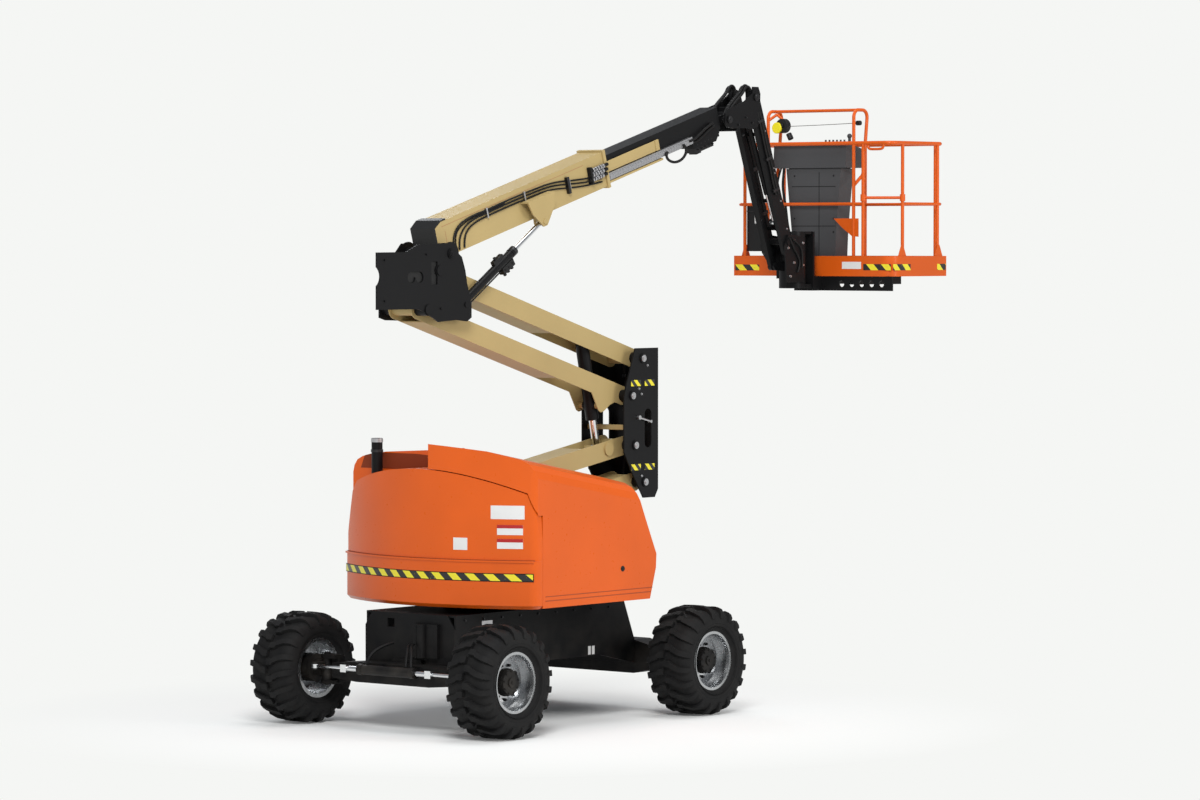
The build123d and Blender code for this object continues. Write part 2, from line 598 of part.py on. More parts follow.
def upper_boom():
    """Lower arm of the upper stage, with the two lugs for the tower cylinder's trunnion."""
    arm = box_arm(head_boom, PIN_UPPER_BOOM, -UPPER_ANGLE, UPPER_LENGTH)
    arm = opened(arm, PIN_UPPER_BOOM, -UPPER_ANGLE, -800, -60, -ARM_DEPTH, ARM_DEPTH)
    s, t = TOWER_TRUNNION
    low = -ARM_DEPTH / 2 + 2
    lug_points = [step(PIN_UPPER_BOOM, -UPPER_ANGLE, a, b) for a, b in
                  ((s - 150, low), (s - 48, t - 26), (s - 26, t - 46), (s + 4, t - 52), (s + 34, t - 34),
                   (s + 96, low - 34), (s + 150, low))]
    lug = plate(lug_points, ARM_HALF_WIDTH - ARM_WALL, ARM_HALF_WIDTH)
    arm += both_sides(lug)
    return arm + stub_pins(tower_trunnion, 26, TOWER_CYLINDER_RADIUS + 6 + FIT)


def lower_link():
    return box_arm(deck_link, PIN_LOWER_LINK, LOWER_ANGLE, LOWER_LENGTH)


def upper_link():
    """Upper arm of the upper stage, open below where the tower cylinder's barrel reaches."""
    arm = box_arm(head_link, PIN_UPPER_LINK, -UPPER_ANGLE, UPPER_LENGTH)
    return opened(arm, PIN_UPPER_LINK, -UPPER_ANGLE, -1000, -60, -ARM_DEPTH, 0)


def tower_cylinder_barrel():
    """Barrel hung by a trunnion part way up, between the arms' cheeks."""
    half = TOWER_CYLINDER_RADIUS + 6
    angle = degrees(atan2(tower_eye[1] - tower_trunnion[1], tower_eye[0] - tower_trunnion[0]))
    low = step(tower_trunnion, angle, 110)
    top = step(tower_trunnion, angle, -TOWER_BARREL_TOP)
    barrel = bar((top[0], 0, top[1]), (low[0], 0, low[1]), TOWER_CYLINDER_RADIUS)
    barrel += pin(tower_trunnion, EYE_RADIUS, -half, half)
    bore_top = step(tower_trunnion, angle, 15 - TOWER_BARREL_TOP)
    beyond = step(tower_trunnion, angle, 125)
    return barrel - bar((bore_top[0], 0, bore_top[1]), (beyond[0], 0, beyond[1]), TOWER_ROD_RADIUS + FIT)


def tower_cylinder_rod():
    angle = degrees(atan2(tower_eye[1] - tower_trunnion[1], tower_eye[0] - tower_trunnion[0]))
    top = step(tower_trunnion, angle, 110 - TOWER_BARREL_TOP)
    neck = step(tower_eye, angle, -20)
    rod = bar((top[0], 0, top[1]), (neck[0], 0, neck[1]), TOWER_ROD_RADIUS)
    return rod + pin(tower_eye, 38, -EYE_HALF_WIDTH - 8, EYE_HALF_WIDTH + 8)


def upper_upright():
    """A large near plate, a narrower far plate, and the pins and collars that join them."""
    outline = [(-1646, 3536), (-1320, 3538), (-1194, 3593), (-884, 3605), (-788, 3560), (-700, 3500),
               (-661, 3400), (-641, 3306), (-591, 3144), (-591, 3050), (-640, 3021), (-763, 3033),
               (-965, 3021), (-1099, 3090), (-1200, 3118), (-1646, 3118)]
    outer = UPRIGHT_HALF_WIDTH
    inner = outer - UPRIGHT_PLATE
    side = plate(outline, inner, outer)
    side += pin(BOOM_PIVOT, 88, inner, outer)
    side -= pin((-1690, 3360), 82, inner - 5, outer + 5)
    side -= pin((-1175, 3352), 42, inner - 5, outer + 5)
    side -= pin((-1265, 3352), 42, inner - 5, outer + 5)
    side -= beam((-1220, 3352), 0, -45, 45, 0, 42, inner - 5, outer + 5)
    side -= beam((-1010, 3383), 90, -85, 85, -34, 34, inner - 5, outer + 5)
    far_outline = [(-1150, 3050), (-1150, 3165), (-1010, 3490), (-900, 3600), (-780, 3600),
                   (-700, 3500), (-650, 3400), (-600, 3144), (-600, 3050), (-720, 3020), (-1080, 3030)]
    far_side = plate(far_outline, inner, outer) + pin(BOOM_PIVOT, 88, inner, outer)
    upright = mirror(side, about=Plane.XZ) + far_side
    upright += carried_pins([head_boom, head_link], outer, ARM_HALF_WIDTH + FIT)
    upright += carried_pins([BOOM_PIVOT], outer, BOOM_HALF_WIDTH + FIT)
    # stub pins of the two side cylinders, one on each plate
    reach = SIDE_CYLINDER_Y - EYE_HALF_WIDTH
    boss_from = SIDE_CYLINDER_Y + EYE_HALF_WIDTH + FIT
    upright += pin(LIFT_BASE, LIFT_PIN_RADIUS, -outer - 8, -reach)
    upright += pin(LIFT_BASE, EYE_RADIUS, -inner - 1, -boss_from)
    upright += pin(LEVEL_BASE, LEVEL_PIN_RADIUS, reach, outer + 8)
    return upright + pin(LEVEL_BASE, 28, boss_from, inner + 1)


# ------------------------------------------------------------------ main boom


def boom_beam(s0, s1, t0, t1, y0, y1):
    return beam(BOOM_PIVOT, BOOM_ANGLE, s0, s1, t0, t1, y0, y1)


def side_lug(eye, side, reach_back, reach_front, eye_radius):
    """Lug outside the boom's near wall: outer plate, roof and inner pad about a rod's eye."""
    u = rail(BOOM_ANGLE)
    dx = eye[0] - BOOM_PIVOT[0]
    dz = eye[1] - BOOM_PIVOT[1]
    s = dx * u[0] + dz * u[1]
    t = -dx * u[1] + dz * u[0]
    outer_y = SIDE_CYLINDER_Y + EYE_HALF_WIDTH + FIT
    roof = BOOM_BOTTOM_T + 150
    points = [step(BOOM_PIVOT, BOOM_ANGLE, a, b) for a, b in
              ((s - reach_back, roof), (s - reach_back + 30, roof - 90), (s - 20, t - 34), (s + 24, t - 34),
               (s + reach_front, roof - 90), (s + reach_front + 20, roof))]
    lug = plate(points, -outer_y - 12, -outer_y)
    lug += boom_beam(s - reach_back, s + reach_front + 20, roof, roof + 12,
                     -outer_y - 12, -BOOM_HALF_WIDTH + 2)
    inner_y = SIDE_CYLINDER_Y - EYE_HALF_WIDTH - FIT
    pad = pin(eye, eye_radius, -inner_y, -BOOM_HALF_WIDTH + 4)
    pad += boom_beam(s - 34, s + 34, t, BOOM_BOTTOM_T + 60, -inner_y, -BOOM_HALF_WIDTH + 4)
    both = lug + pad + pin(eye, 20, -outer_y - 20, -outer_y - 10)
    return both if side < 0 else mirror(both, about=Plane.XZ)


def main_boom():
    """Rectangular base section, open at its front, bored at its pivot, with two lugs."""
    half = BOOM_HALF_WIDTH
    wall = BOOM_WALL
    # rounded under the pivot so that the raised boom clears the upper link
    low = BOOM_BOTTOM_T
    crown = BOOM_REAR_S + BOOM_CROWN[0]
    outline = [(crown, BOOM_TOP_T), (BOOM_REAR_S, BOOM_TOP_T - BOOM_CROWN[1]), (BOOM_REAR_S, 60)]
    outline += [(low - 2, 22), (low - 2, 0), (low * 0.72, low * 0.72), (0, low)]
    outline += [(BOOM_FRONT_S, low), (BOOM_FRONT_S, BOOM_TOP_T)]
    boom = plate([step(BOOM_PIVOT, BOOM_ANGLE, s, t) for s, t in outline], -half, half)
    room = boom_beam(50, BOOM_FRONT_S + 10, BOOM_BOTTOM_T + wall, BOOM_TOP_T - wall,
                     -half + wall, half - wall)
    boom -= room
    boom += pin(BOOM_PIVOT, 43, -half, half)
    boom -= pin(BOOM_PIVOT, PIN_RADIUS + FIT, -half - 10, half + 10)
    boom += side_lug(LIFT_EYE, -1, 150, 150, EYE_RADIUS)
    boom += side_lug(LEVEL_EYE, 1, 95, 95, 28)
    return boom


def boom_end_cap():
    """Moulded cap over the boom's rear end, above the pivot, with a chamfered crown."""
    back = BOOM_REAR_S
    along, down = BOOM_CROWN
    top = BOOM_TOP_T
    inside = [(back + 130, top + FIT), (back + along, top + FIT), (back - FIT, top - down + FIT)]
    inside += [(back - FIT, 64)]
    outside = [(back - 14, 64), (back - 14, top - down + 4), (back + along - 6, top + 12),
               (back + 130, top + 12)]
    half = BOOM_HALF_WIDTH + 2
    return plate([step(BOOM_PIVOT, BOOM_ANGLE, s, t) for s, t in inside + outside], -half, half)


def boom_collar():
    """Wear-pad collar at the mouth of the base section."""
    half = BOOM_HALF_WIDTH - BOOM_WALL
    low = BOOM_BOTTOM_T + BOOM_WALL
    high = BOOM_TOP_T - BOOM_WALL
    fly_low = fly_middle_t - FLY_DEPTH / 2 - FIT
    fly_high = fly_middle_t + FLY_DEPTH / 2 + FIT
    outer = boom_beam(BOOM_FRONT_S + FIT, BOOM_FRONT_S + 30, BOOM_BOTTOM_T - 14, BOOM_TOP_T + 14,
                      -BOOM_HALF_WIDTH - 14, BOOM_HALF_WIDTH + 14)
    outer += boom_beam(BOOM_FRONT_S - 160, BOOM_FRONT_S + 10, low + FIT, high - FIT, -half + FIT, half - FIT)
    bore = boom_beam(BOOM_FRONT_S - 170, BOOM_FRONT_S + 40, fly_low, fly_high,
                     -FLY_HALF_WIDTH - FIT, FLY_HALF_WIDTH + FIT)
    return outer - bore


def fly_boom():
    """Telescoping inner section, open at its rear end."""
    low = fly_middle_t - FLY_DEPTH / 2
    high = fly_middle_t + FLY_DEPTH / 2
    fly = boom_beam(FLY_REAR_S, FLY_FRONT_S, low, high, -FLY_HALF_WIDTH, FLY_HALF_WIDTH)
    fly -= boom_beam(FLY_REAR_S - 10, FLY_FRONT_S - 40, low + FLY_WALL, high - FLY_WALL,
                     -FLY_HALF_WIDTH + FLY_WALL, FLY_HALF_WIDTH - FLY_WALL)
    # nose cheeks round the head's pivot
    nose = plate([step(BOOM_PIVOT, BOOM_ANGLE, s, t) for s, t in
                  ((3180, low - 60), (3480, low - 78), (3540, low - 20), (3540, high), (3180, high))],
                 -FLY_HALF_WIDTH, FLY_HALF_WIDTH)
    fly += nose
    tongue = beam(HEAD_PIVOT, BOOM_ANGLE, -160, 0, -38, 38, -62, 62) + pin(HEAD_PIVOT, 38, -62, 62)
    fly += tongue
    return fly - pin(HEAD_PIVOT, 24 + FIT, -100, 100)


def hose_carrier():
    """Flat carrier rail along the fly's near side."""
    low = fly_middle_t - FLY_DEPTH / 2
    carrier = boom_beam(BOOM_FRONT_S + 45, 3150, low - 8, low + 46, -FLY_HALF_WIDTH - 32, -FLY_HALF_WIDTH)
    return carrier


def lift_cylinder_barrel():
    return cylinder_barrel(LIFT_BASE, LIFT_EYE, -SIDE_CYLINDER_Y, SIDE_CYLINDER_RADIUS - 3,
                           735, LIFT_PIN_RADIUS)


def lift_cylinder_rod():
    return cylinder_rod(LIFT_BASE, LIFT_EYE, -SIDE_CYLINDER_Y, 735, 475)


def level_cylinder_barrel():
    return cylinder_barrel(LEVEL_BASE, LEVEL_EYE, SIDE_CYLINDER_Y, LEVEL_RADIUS, 400, LEVEL_PIN_RADIUS)


def level_cylinder_rod():
    return cylinder_rod(LEVEL_BASE, LEVEL_EYE, SIDE_CYLINDER_Y, 400, 235)


# ------------------------------------------------------------------ jib


def jib_head():
    """Levelling head: cheeks outside the jib beams, a back web and a middle lug."""
    hx, hz = HEAD_PIVOT
    jx, jz = JIB_PIVOT
    outline = [(hx - 52, hz - 30), (hx - 30, hz - 60), (hx + 60, hz - 70), (jx - 120, jz - 250),
               (jx - 60, jz - 262), (jx + 30, jz - 235), (jx + 52, jz - 160), (jx + 60, jz + 30),
               (jx + 34, jz + 84), (jx - 40, jz + 84), (jx - 44, jz + 30), (jx - 150, jz - 36),
               (hx - 6, hz + 88), (hx - 50, hz + 50)]
    side = plate(outline, 112, 124)
    head = both_sides(side)
    web = beam((hx + 120, hz - 90), 85, 0, 190, -10, 10, -112, 112)
    head += web
    head += plate([(hx + 100, jz - 262), (jx - 8, jz - 232), (jx + 22, jz - 200), (jx + 22, jz - 120),
                   (jx - 8, jz - 96), (hx + 110, jz - 110)], 2, 20)
    head += pin(HEAD_PIVOT, 24, -130, 130)
    # the jib's pivot is two stubs, so that the link and the cylinder can fold past its axis
    head += both_sides(pin(JIB_PIVOT, 26, JIB_BEAM_Y[0] - 4, 132))
    head += pin(jib_link_top, 20, 1, 62)
    return head + pin(jib_cylinder_pin, 18, JIB_CYLINDER_Y - 24, 3)


def jib():
    """Two side beams with round ends, tied by cross tubes."""
    half = JIB_BEAM_DEPTH / 2
    y0, y1 = JIB_BEAM_Y
    tail = step(JIB_PIVOT, JIB_ANGLE, JIB_LENGTH + JIB_TAIL)
    side = beam(JIB_PIVOT, JIB_ANGLE, 0, JIB_LENGTH + JIB_TAIL, -half, half, y0, y1)
    side += pin(JIB_PIVOT, half, y0, y1) + pin(tail, half, y0, y1)
    jib_body = both_sides(side)
    for along in (330, 900, JIB_LENGTH - 100):
        centre = step(JIB_PIVOT, JIB_ANGLE, along, 45)
        jib_body += pin(centre, 16, -y0 - 2, y0 + 2)
    # two cheeks round the cylinder's eye, welded to the last cross tube
    cheek = [step(jib_eye, JIB_ANGLE, a, b) for a, b in
             ((-34, -10), (-22, -30), (10, -36), (36, -12), (90, 44), (60, 76), (-14, 34), (-34, 14))]
    for face in (JIB_CYLINDER_Y - 20 - FIT - 8, JIB_CYLINDER_Y + 20 + FIT):
        jib_body += plate(cheek, face, face + 7)
    jib_body -= pin(JIB_PIVOT, 26 + FIT, -140, 140)
    jib_body -= pin(jib_foot_pin, 26 + FIT, -140, 140)
    return jib_body


def jib_link():
    """Parallel link beside the middle lugs."""
    link = beam(jib_link_top, JIB_ANGLE, 0, JIB_LENGTH, -28, 28, 24, 58)
    link += pin(jib_link_top, 32, 24, 58) + pin(jib_link_foot, 32, 24, 58)
    link -= pin(jib_link_top, 20 + FIT, 0, 80)
    return link - pin(jib_link_foot, 20 + FIT, 0, 80)


def jib_cylinder_barrel():
    """Barrel beside the middle lug, pinned to the head."""
    y = JIB_CYLINDER_Y
    angle = jib_cylinder_angle
    start = step(jib_cylinder_pin, angle, 20)
    end = step(jib_cylinder_pin, angle, 700)
    barrel = bar((start[0], y, start[1]), (end[0], y, end[1]), 20)
    barrel += pin(jib_cylinder_pin, 30, y - 20, y + 20)
    barrel -= pin(jib_cylinder_pin, 18 + FIT, y - 40, y + 40)
    inside = step(jib_cylinder_pin, angle, 60)
    beyond = step(jib_cylinder_pin, angle, 720)
    return barrel - bar((inside[0], y, inside[1]), (beyond[0], y, beyond[1]), 12 + FIT)


def jib_cylinder_rod():
    y = JIB_CYLINDER_Y
    angle = jib_cylinder_angle
    start = step(jib_cylinder_pin, angle, 300)
    neck = step(jib_eye, angle, -18)
    rod = bar((start[0], y, start[1]), (neck[0], y, neck[1]), 12)
    return rod + pin(jib_eye, 25, y - 20, y + 20)


def jib_foot():
    """Level bracket at the jib's lower end with the rotator's drum."""
    kx, kz = jib_foot_pin
    outline = [(kx - 50, kz - 30), (kx - 30, kz - 180), (kx - 20, kz - 330), (rotator_x, kz - 330),
               (rotator_x, kz + 40), (kx + 60, kz + 56), (kx, kz + 56)]
    far_outline = [(kx - 50, kz - 30), (kx - 30, kz - 90), (kx + 90, kz - 210), (rotator_x, kz - 210),
                   (rotator_x, kz + 40), (kx + 60, kz + 56), (kx, kz + 56)]
    foot = plate(outline, -124, -112) + plate(far_outline, 112, 124)
    foot += block(kx + 150, kx + 165, -112, 112, kz - 300, kz + 40)
    foot += plate([(kx + 160, kz - 240), (kx + 160, kz - 150), (kx - 8, kz - 168), (kx - 34, kz - 200),
                   (kx - 8, kz - 232)], 2, 20)
    foot += pin(jib_foot_pin, 26, -132, 132)
    foot += pin(jib_link_foot, 20, 1, 62)
    foot += bar((rotator_x, 0, kz - 345), (rotator_x, 0, kz + 62), ROTATOR_RADIUS)
    return foot


# ------------------------------------------------------------------ platform


def platform_support():
    """Rotating clamp round the drum, back plate, drilled beam and two floor arms."""
    kz = jib_foot_pin[1]
    top = kz + 62 + FIT
    bottom = kz - 345 - FIT
    support = bar((rotator_x, 0, top), (rotator_x, 0, top + 22), ROTATOR_RADIUS)
    support += block(rotator_x, rotator_x + 170, -90, 90, top, top + 22)
    support += bar((rotator_x, 0, bottom - 34), (rotator_x, 0, bottom), ROTATOR_RADIUS)
    support += block(rotator_x, rotator_x + 170, -90, 90, bottom - 34, bottom)
    support += block(rotator_x + 150, rotator_x + 172, -100, 100, bottom - 34, top + 22)
    beam_top = PLATFORM_BOTTOM - FIT
    beam_low = PLATFORM_BOTTOM - 118
    long_beam = block(PLATFORM_NEAR_X, PLATFORM_NEAR_X + 14, -PLATFORM_HALF_LENGTH, 120, beam_low, beam_top)
    for k in range(5):
        y = -300 - 100 * k
        long_beam -= bar((PLATFORM_NEAR_X - 5, y, beam_low + 56),
                         (PLATFORM_NEAR_X + 25, y, beam_low + 56), 26)
    support += long_beam
    support += block(rotator_x + 160, PLATFORM_NEAR_X + 7, -100, 100, beam_low, beam_top)
    for y in (-440, 60):
        support += block(PLATFORM_NEAR_X + 5, platform_far_x - 120, y, y + 60, beam_low + 50, beam_top)
    return support


def platform_outline(inset):
    """Floor outline with one rounded corner at the entry."""
    x0 = PLATFORM_NEAR_X + inset
    x1 = platform_far_x - inset
    y = PLATFORM_HALF_LENGTH - inset
    radius = CORNER_RADIUS - inset
    arc = ThreePointArc((x0, -y + radius), (x0 + radius * (1 - sqrt(0.5)), -y + radius * (1 - sqrt(0.5))),
                        (x0 + radius, -y))
    rest = Polyline((x0 + radius, -y), (x1, -y), (x1, y), (x0, y), (x0, -y + radius))
    return make_face(arc + rest)


def platform_floor():
    """Floor tray with its toe board."""
    tray = Pos(0, 0, PLATFORM_BOTTOM) * extrude(platform_outline(0), amount=TOE_HEIGHT)
    room = Pos(0, 0, PLATFORM_BOTTOM + 24) * extrude(platform_outline(TOE_PLATE), amount=TOE_HEIGHT)
    return tray - room


def rail_route(x0, x1, y, z, gap):
    """Corner points of a rail that starts at the entry and ends across it."""
    return [(x0, -ENTRY_POST_Y + gap, z), (x0, y, z), (x1, y, z), (x1, -y, z),
            (x0 + ENTRY_POST_X - gap, -y, z)]


def platform_rails():
    """Posts, top rail, mid rail and the guard hoop over the console, as one weldment."""
    x0 = PLATFORM_NEAR_X + TOE_PLATE + RAIL_RADIUS + 1
    x1 = platform_far_x - TOE_PLATE - RAIL_RADIUS - 1
    y = PLATFORM_HALF_LENGTH - TOE_PLATE - RAIL_RADIUS - 1
    foot = PLATFORM_BOTTOM + 24 + FIT
    r = RAIL_RADIUS
    post_r = r - 2
    rails = tube(rail_route(x0, x1, y, rail_z, 0), r, 60)
    rails += tube(rail_route(x0, x1, y, mid_z, 0), r - 3, 60)
    # the top rail also rounds the entry corner
    reach = 70
    bend = sqrt(0.5)
    middle = (x0 + reach * (1 - bend), -y + reach * (1 - bend), rail_z)
    corner = ThreePointArc((x0, -y + reach, rail_z), middle,
                           (x0 + reach, -y, rail_z))
    bridge = Line((x0, -ENTRY_POST_Y + 5, rail_z), (x0, -y + reach, rail_z)) + corner
    bridge += Line((x0 + reach, -y, rail_z), (x0 + ENTRY_POST_X + 5, -y, rail_z))
    rails += sweep(Plane(origin=bridge @ 0, z_dir=bridge % 0) * Circle(r), path=bridge)
    # plan position of each post
    posts = [(x0, y - 75), (x0, -ENTRY_POST_Y), (x0 + ENTRY_POST_X, -y), (x1 - 75, -y), (x1, -y + 75),
             (x1, 0), (x1, y - 75), (x1 - 75, y)]
    for px, py in posts:
        rails += bar((px, py, foot), (px, py, rail_z), post_r)
    # guard hoop: two legs up from the floor, forward over the console and back to the legs
    hoop_z = PLATFORM_BOTTOM + HOOP_HEIGHT
    lean = x0 + HOOP_REACH
    for py in HOOP_Y:
        rails += tube([(x0, py, foot), (x0, py, hoop_z), (lean, py, hoop_z), (lean - 60, py, mid_z + 240),
                       (x0, py, mid_z + 150)], post_r, 60)
    return rails + bar((x0 + 100, HOOP_Y[0], hoop_z), (x0 + 100, HOOP_Y[1], hoop_z), post_r - 1)


def entry_bar():
    """Drop bar across the entry: a sleeve on each post and a bar between them."""
    x0 = PLATFORM_NEAR_X + TOE_PLATE + RAIL_RADIUS + 1
    y = PLATFORM_HALF_LENGTH - TOE_PLATE - RAIL_RADIUS - 1
    ends = [(x0, -ENTRY_POST_Y), (x0 + ENTRY_POST_X, -y)]
    z = mid_z + 50
    shape = bar((ends[0][0], ends[0][1], z), (ends[1][0], ends[1][1], z), 12)
    for px, py in ends:
        shape += Pos(px, py, z) * Cylinder(RAIL_RADIUS + 6, 56)
    for px, py in ends:
        shape -= Pos(px, py, z) * Cylinder(RAIL_RADIUS - 2 + FIT, 120)
    return shape


def control_console():
    """Tapered pedestal and upper housing."""
    x0 = PLATFORM_NEAR_X + 62
    rear = x0 + 190
    pedestal = section([(-175, PLATFORM_BOTTOM + 24 + FIT), (235, PLATFORM_BOTTOM + 24 + FIT), (265, 3700),
                        (320, 4210), (-240, 4210), (-190, 3700)], x0 + 10, rear - 10)
    housing = plate([(x0 - 10, 4215), (rear + 60, 4215), (rear + 70, 4330), (x0, 4400)], -300, 440)
    neck = block(x0 + 20, rear - 20, -220, 300, 4180, 4230)
    return pedestal + housing + neck


def control_box():
    """Flat panel box on the console."""
    x0 = PLATFORM_NEAR_X + 62
    panel = plate([(x0 + 14, 4396.5), (x0 + 245, 4334.4), (x0 + 252, 4372), (x0 + 14, 4430)], -280, 420)
    for k in range(6):
        y = -230 + 38 * k
        panel += bar((x0 + 70, y, 4390), (x0 + 70, y, 4446), 8)
    panel += bar((x0 + 120, -245, 4380), (x0 + 120, -245, 4470), 12)
    panel += Pos(x0 + 120, -245, 4476) * Sphere(20)
    return panel


def document_box():
    """Black box on the near rail."""
    x0 = PLATFORM_NEAR_X + TOE_PLATE + 2 * RAIL_RADIUS - 2 + FIT
    return block(x0, x0 + 60, 520, 700, 3530, mid_z + 10)


# ------------------------------------------------------------------ build everything
parts = {
    "chassis_frame": chassis_frame(),
    "swing_bearing": swing_bearing(),
    "steer_axle": steer_axle(),
    "drive_axle": drive_axle(),
    "steer_cylinder": steer_cylinder(),
    "steer_rod": steer_rod(),
    "knuckle_left": knuckle(1),
    "knuckle_right": knuckle(-1),
    "turntable_frame": turntable_frame(),
    "counterweight": counterweight(),
    "tail_cover": tail_cover(),
    "hood_right": hood(-1, True),
    "hood_left": hood(1, False),
    "engine_block": engine_block(),
    "hydraulic_tank": hydraulic_tank(),
    "exhaust_stack": exhaust_stack(),
    "lower_boom": lower_boom(),
    "lower_link": lower_link(),
    "centre_upright": centre_upright(),
    "upper_boom": upper_boom(),
    "upper_link": upper_link(),
    "upper_upright": upper_upright(),
    "tower_cylinder_barrel": tower_cylinder_barrel(),
    "tower_cylinder_rod": tower_cylinder_rod(),
    "main_boom": main_boom(),
    "boom_end_cap": boom_end_cap(),
    "boom_collar": boom_collar(),
    "lift_cylinder_barrel": lift_cylinder_barrel(),
    "lift_cylinder_rod": lift_cylinder_rod(),
    "level_cylinder_barrel": level_cylinder_barrel(),
    "level_cylinder_rod": level_cylinder_rod(),
    "fly_boom": fly_boom(),
    "hose_carrier": hose_carrier(),
    "jib_head": jib_head(),
    "jib": jib(),
    "jib_link": jib_link(),
    "jib_cylinder_barrel": jib_cylinder_barrel(),
    "jib_cylinder_rod": jib_cylinder_rod(),
    "jib_foot": jib_foot(),
    "platform_support": platform_support(),
    "platform_floor": platform_floor(),
    "platform_rails": platform_rails(),
    "entry_bar": entry_bar(),
    "control_console": control_console(),
    "control_box": control_box(),
    "document_box": document_box(),
}
the_tyre = tyre()
the_rim = rim()
# name of the corner, end of the machine, side of the machine
corners = [("steer_left", -1, 1), ("steer_right", -1, -1), ("drive_left", 1, 1), ("drive_right", 1, -1)]
for corner, end, side in corners:
    parts["tyre_" + corner] = placed_wheel(the_tyre, end, side)
    parts["rim_" + corner] = placed_wheel(the_rim, end, side)

os.makedirs("parts", exist_ok=True)
for name, shape in parts.items():
    export_step(shape, "parts/" + name + ".step")
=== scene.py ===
"""Looks of the articulating boom lift: materials, tread, hoses, stripes and trim over the CAD frame."""
import json
import math

import bmesh
import bpy
from mathutils import Matrix, Vector


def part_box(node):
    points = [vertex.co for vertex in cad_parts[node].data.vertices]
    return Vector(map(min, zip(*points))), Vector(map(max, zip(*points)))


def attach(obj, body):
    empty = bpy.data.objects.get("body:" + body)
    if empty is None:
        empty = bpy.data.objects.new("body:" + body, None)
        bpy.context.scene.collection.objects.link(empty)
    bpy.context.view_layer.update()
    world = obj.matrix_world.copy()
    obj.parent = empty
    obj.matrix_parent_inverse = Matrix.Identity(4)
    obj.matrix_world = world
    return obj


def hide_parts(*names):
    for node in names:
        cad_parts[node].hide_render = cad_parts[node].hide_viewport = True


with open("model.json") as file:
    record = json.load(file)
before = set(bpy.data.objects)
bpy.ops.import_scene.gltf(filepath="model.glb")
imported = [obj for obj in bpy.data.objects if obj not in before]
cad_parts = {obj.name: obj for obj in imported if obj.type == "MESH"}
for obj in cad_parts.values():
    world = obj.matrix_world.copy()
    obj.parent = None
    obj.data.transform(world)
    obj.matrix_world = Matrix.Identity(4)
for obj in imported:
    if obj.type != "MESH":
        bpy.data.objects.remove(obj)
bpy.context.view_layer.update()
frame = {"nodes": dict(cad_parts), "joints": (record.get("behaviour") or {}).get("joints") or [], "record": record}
JOINT = {joint["name"]: joint for joint in frame["joints"]}


def at(joint):
    """Where a joint's axis is, in metres."""
    return Vector(JOINT[joint]["pos_m"])


# ---------------------------------------- shader values


class Val:
    """A shader socket with arithmetic: each operation adds one Math node."""

    def __init__(self, tree, socket):
        self.tree = tree
        self.socket = socket

    def op(self, kind, *others, clamp=False):
        node = self.tree.nodes.new("ShaderNodeMath")
        node.operation = kind
        node.use_clamp = clamp
        for place, value in zip(node.inputs, (self,) + others):
            if isinstance(value, Val):
                self.tree.links.new(value.socket, place)
            else:
                place.default_value = value
        return Val(self.tree, node.outputs[0])

    def __add__(self, other):
        return self.op("ADD", other)

    def __sub__(self, other):
        return self.op("SUBTRACT", other)

    def __mul__(self, other):
        return self.op("MULTIPLY", other)

    def __truediv__(self, other):
        return self.op("DIVIDE", other)

    def over(self, other):
        return self.op("GREATER_THAN", other)

    def ramp(self, low, high):
        """0 below low, 1 above high, straight between."""
        return ((self - low) / (high - low)).op("ADD", 0.0, clamp=True)


class Look:
    """One procedural material on object coordinates."""

    def __init__(self, name, rough=0.5, metal=0.0, coat=0.0, shine=0.5):
        self.mat = bpy.data.materials.new(name)
        self.mat.use_nodes = True
        self.tree = self.mat.node_tree
        self.bsdf = self.tree.nodes["Principled BSDF"]
        self.bsdf.inputs["Roughness"].default_value = rough
        self.bsdf.inputs["Metallic"].default_value = metal
        self.bsdf.inputs["Coat Weight"].default_value = coat
        self.bsdf.inputs["Coat Roughness"].default_value = 0.12
        self.bsdf.inputs["Specular IOR Level"].default_value = shine
        self.coords = self.tree.nodes.new("ShaderNodeTexCoord").outputs["Object"]

    def stretched(self, scale):
        node = self.tree.nodes.new("ShaderNodeVectorMath")
        node.operation = "MULTIPLY"
        self.tree.links.new(self.coords, node.inputs[0])
        node.inputs[1].default_value = scale
        return node.outputs[0]

    def noise(self, scale, detail=3.0, stretch=None):
        node = self.tree.nodes.new("ShaderNodeTexNoise")
        node.inputs["Scale"].default_value = scale
        node.inputs["Detail"].default_value = detail
        self.tree.links.new(self.stretched(stretch) if stretch else self.coords, node.inputs["Vector"])
        return Val(self.tree, node.outputs[0])

    def axis(self, letter):
        node = self.tree.nodes.new("ShaderNodeSeparateXYZ")
        self.tree.links.new(self.coords, node.inputs[0])
        return Val(self.tree, node.outputs[letter])

    def mix(self, factor, low, high):
        """Colour that goes from low to high."""
        node = self.tree.nodes.new("ShaderNodeMix")
        node.data_type = "RGBA"
        self.tree.links.new(factor.socket, node.inputs["Factor"])
        for place, value in ((6, low), (7, high)):
            if isinstance(value, tuple):
                node.inputs[place].default_value = value + (1.0,) if len(value) == 3 else value
            else:
                self.tree.links.new(value, node.inputs[place])
        return node.outputs[2]

    def feed(self, place, value):
        self.tree.links.new(value.socket if isinstance(value, Val) else value, self.bsdf.inputs[place])

    def bump(self, height, strength, distance):
        node = self.tree.nodes.new("ShaderNodeBump")
        node.inputs["Strength"].default_value = strength
        node.inputs["Distance"].default_value = distance
        self.tree.links.new(height.socket, node.inputs["Height"])
        self.tree.links.new(node.outputs[0], self.bsdf.inputs["Normal"])


def shade(colour, factor):
    return tuple(min(1.0, c * factor) for c in colour)


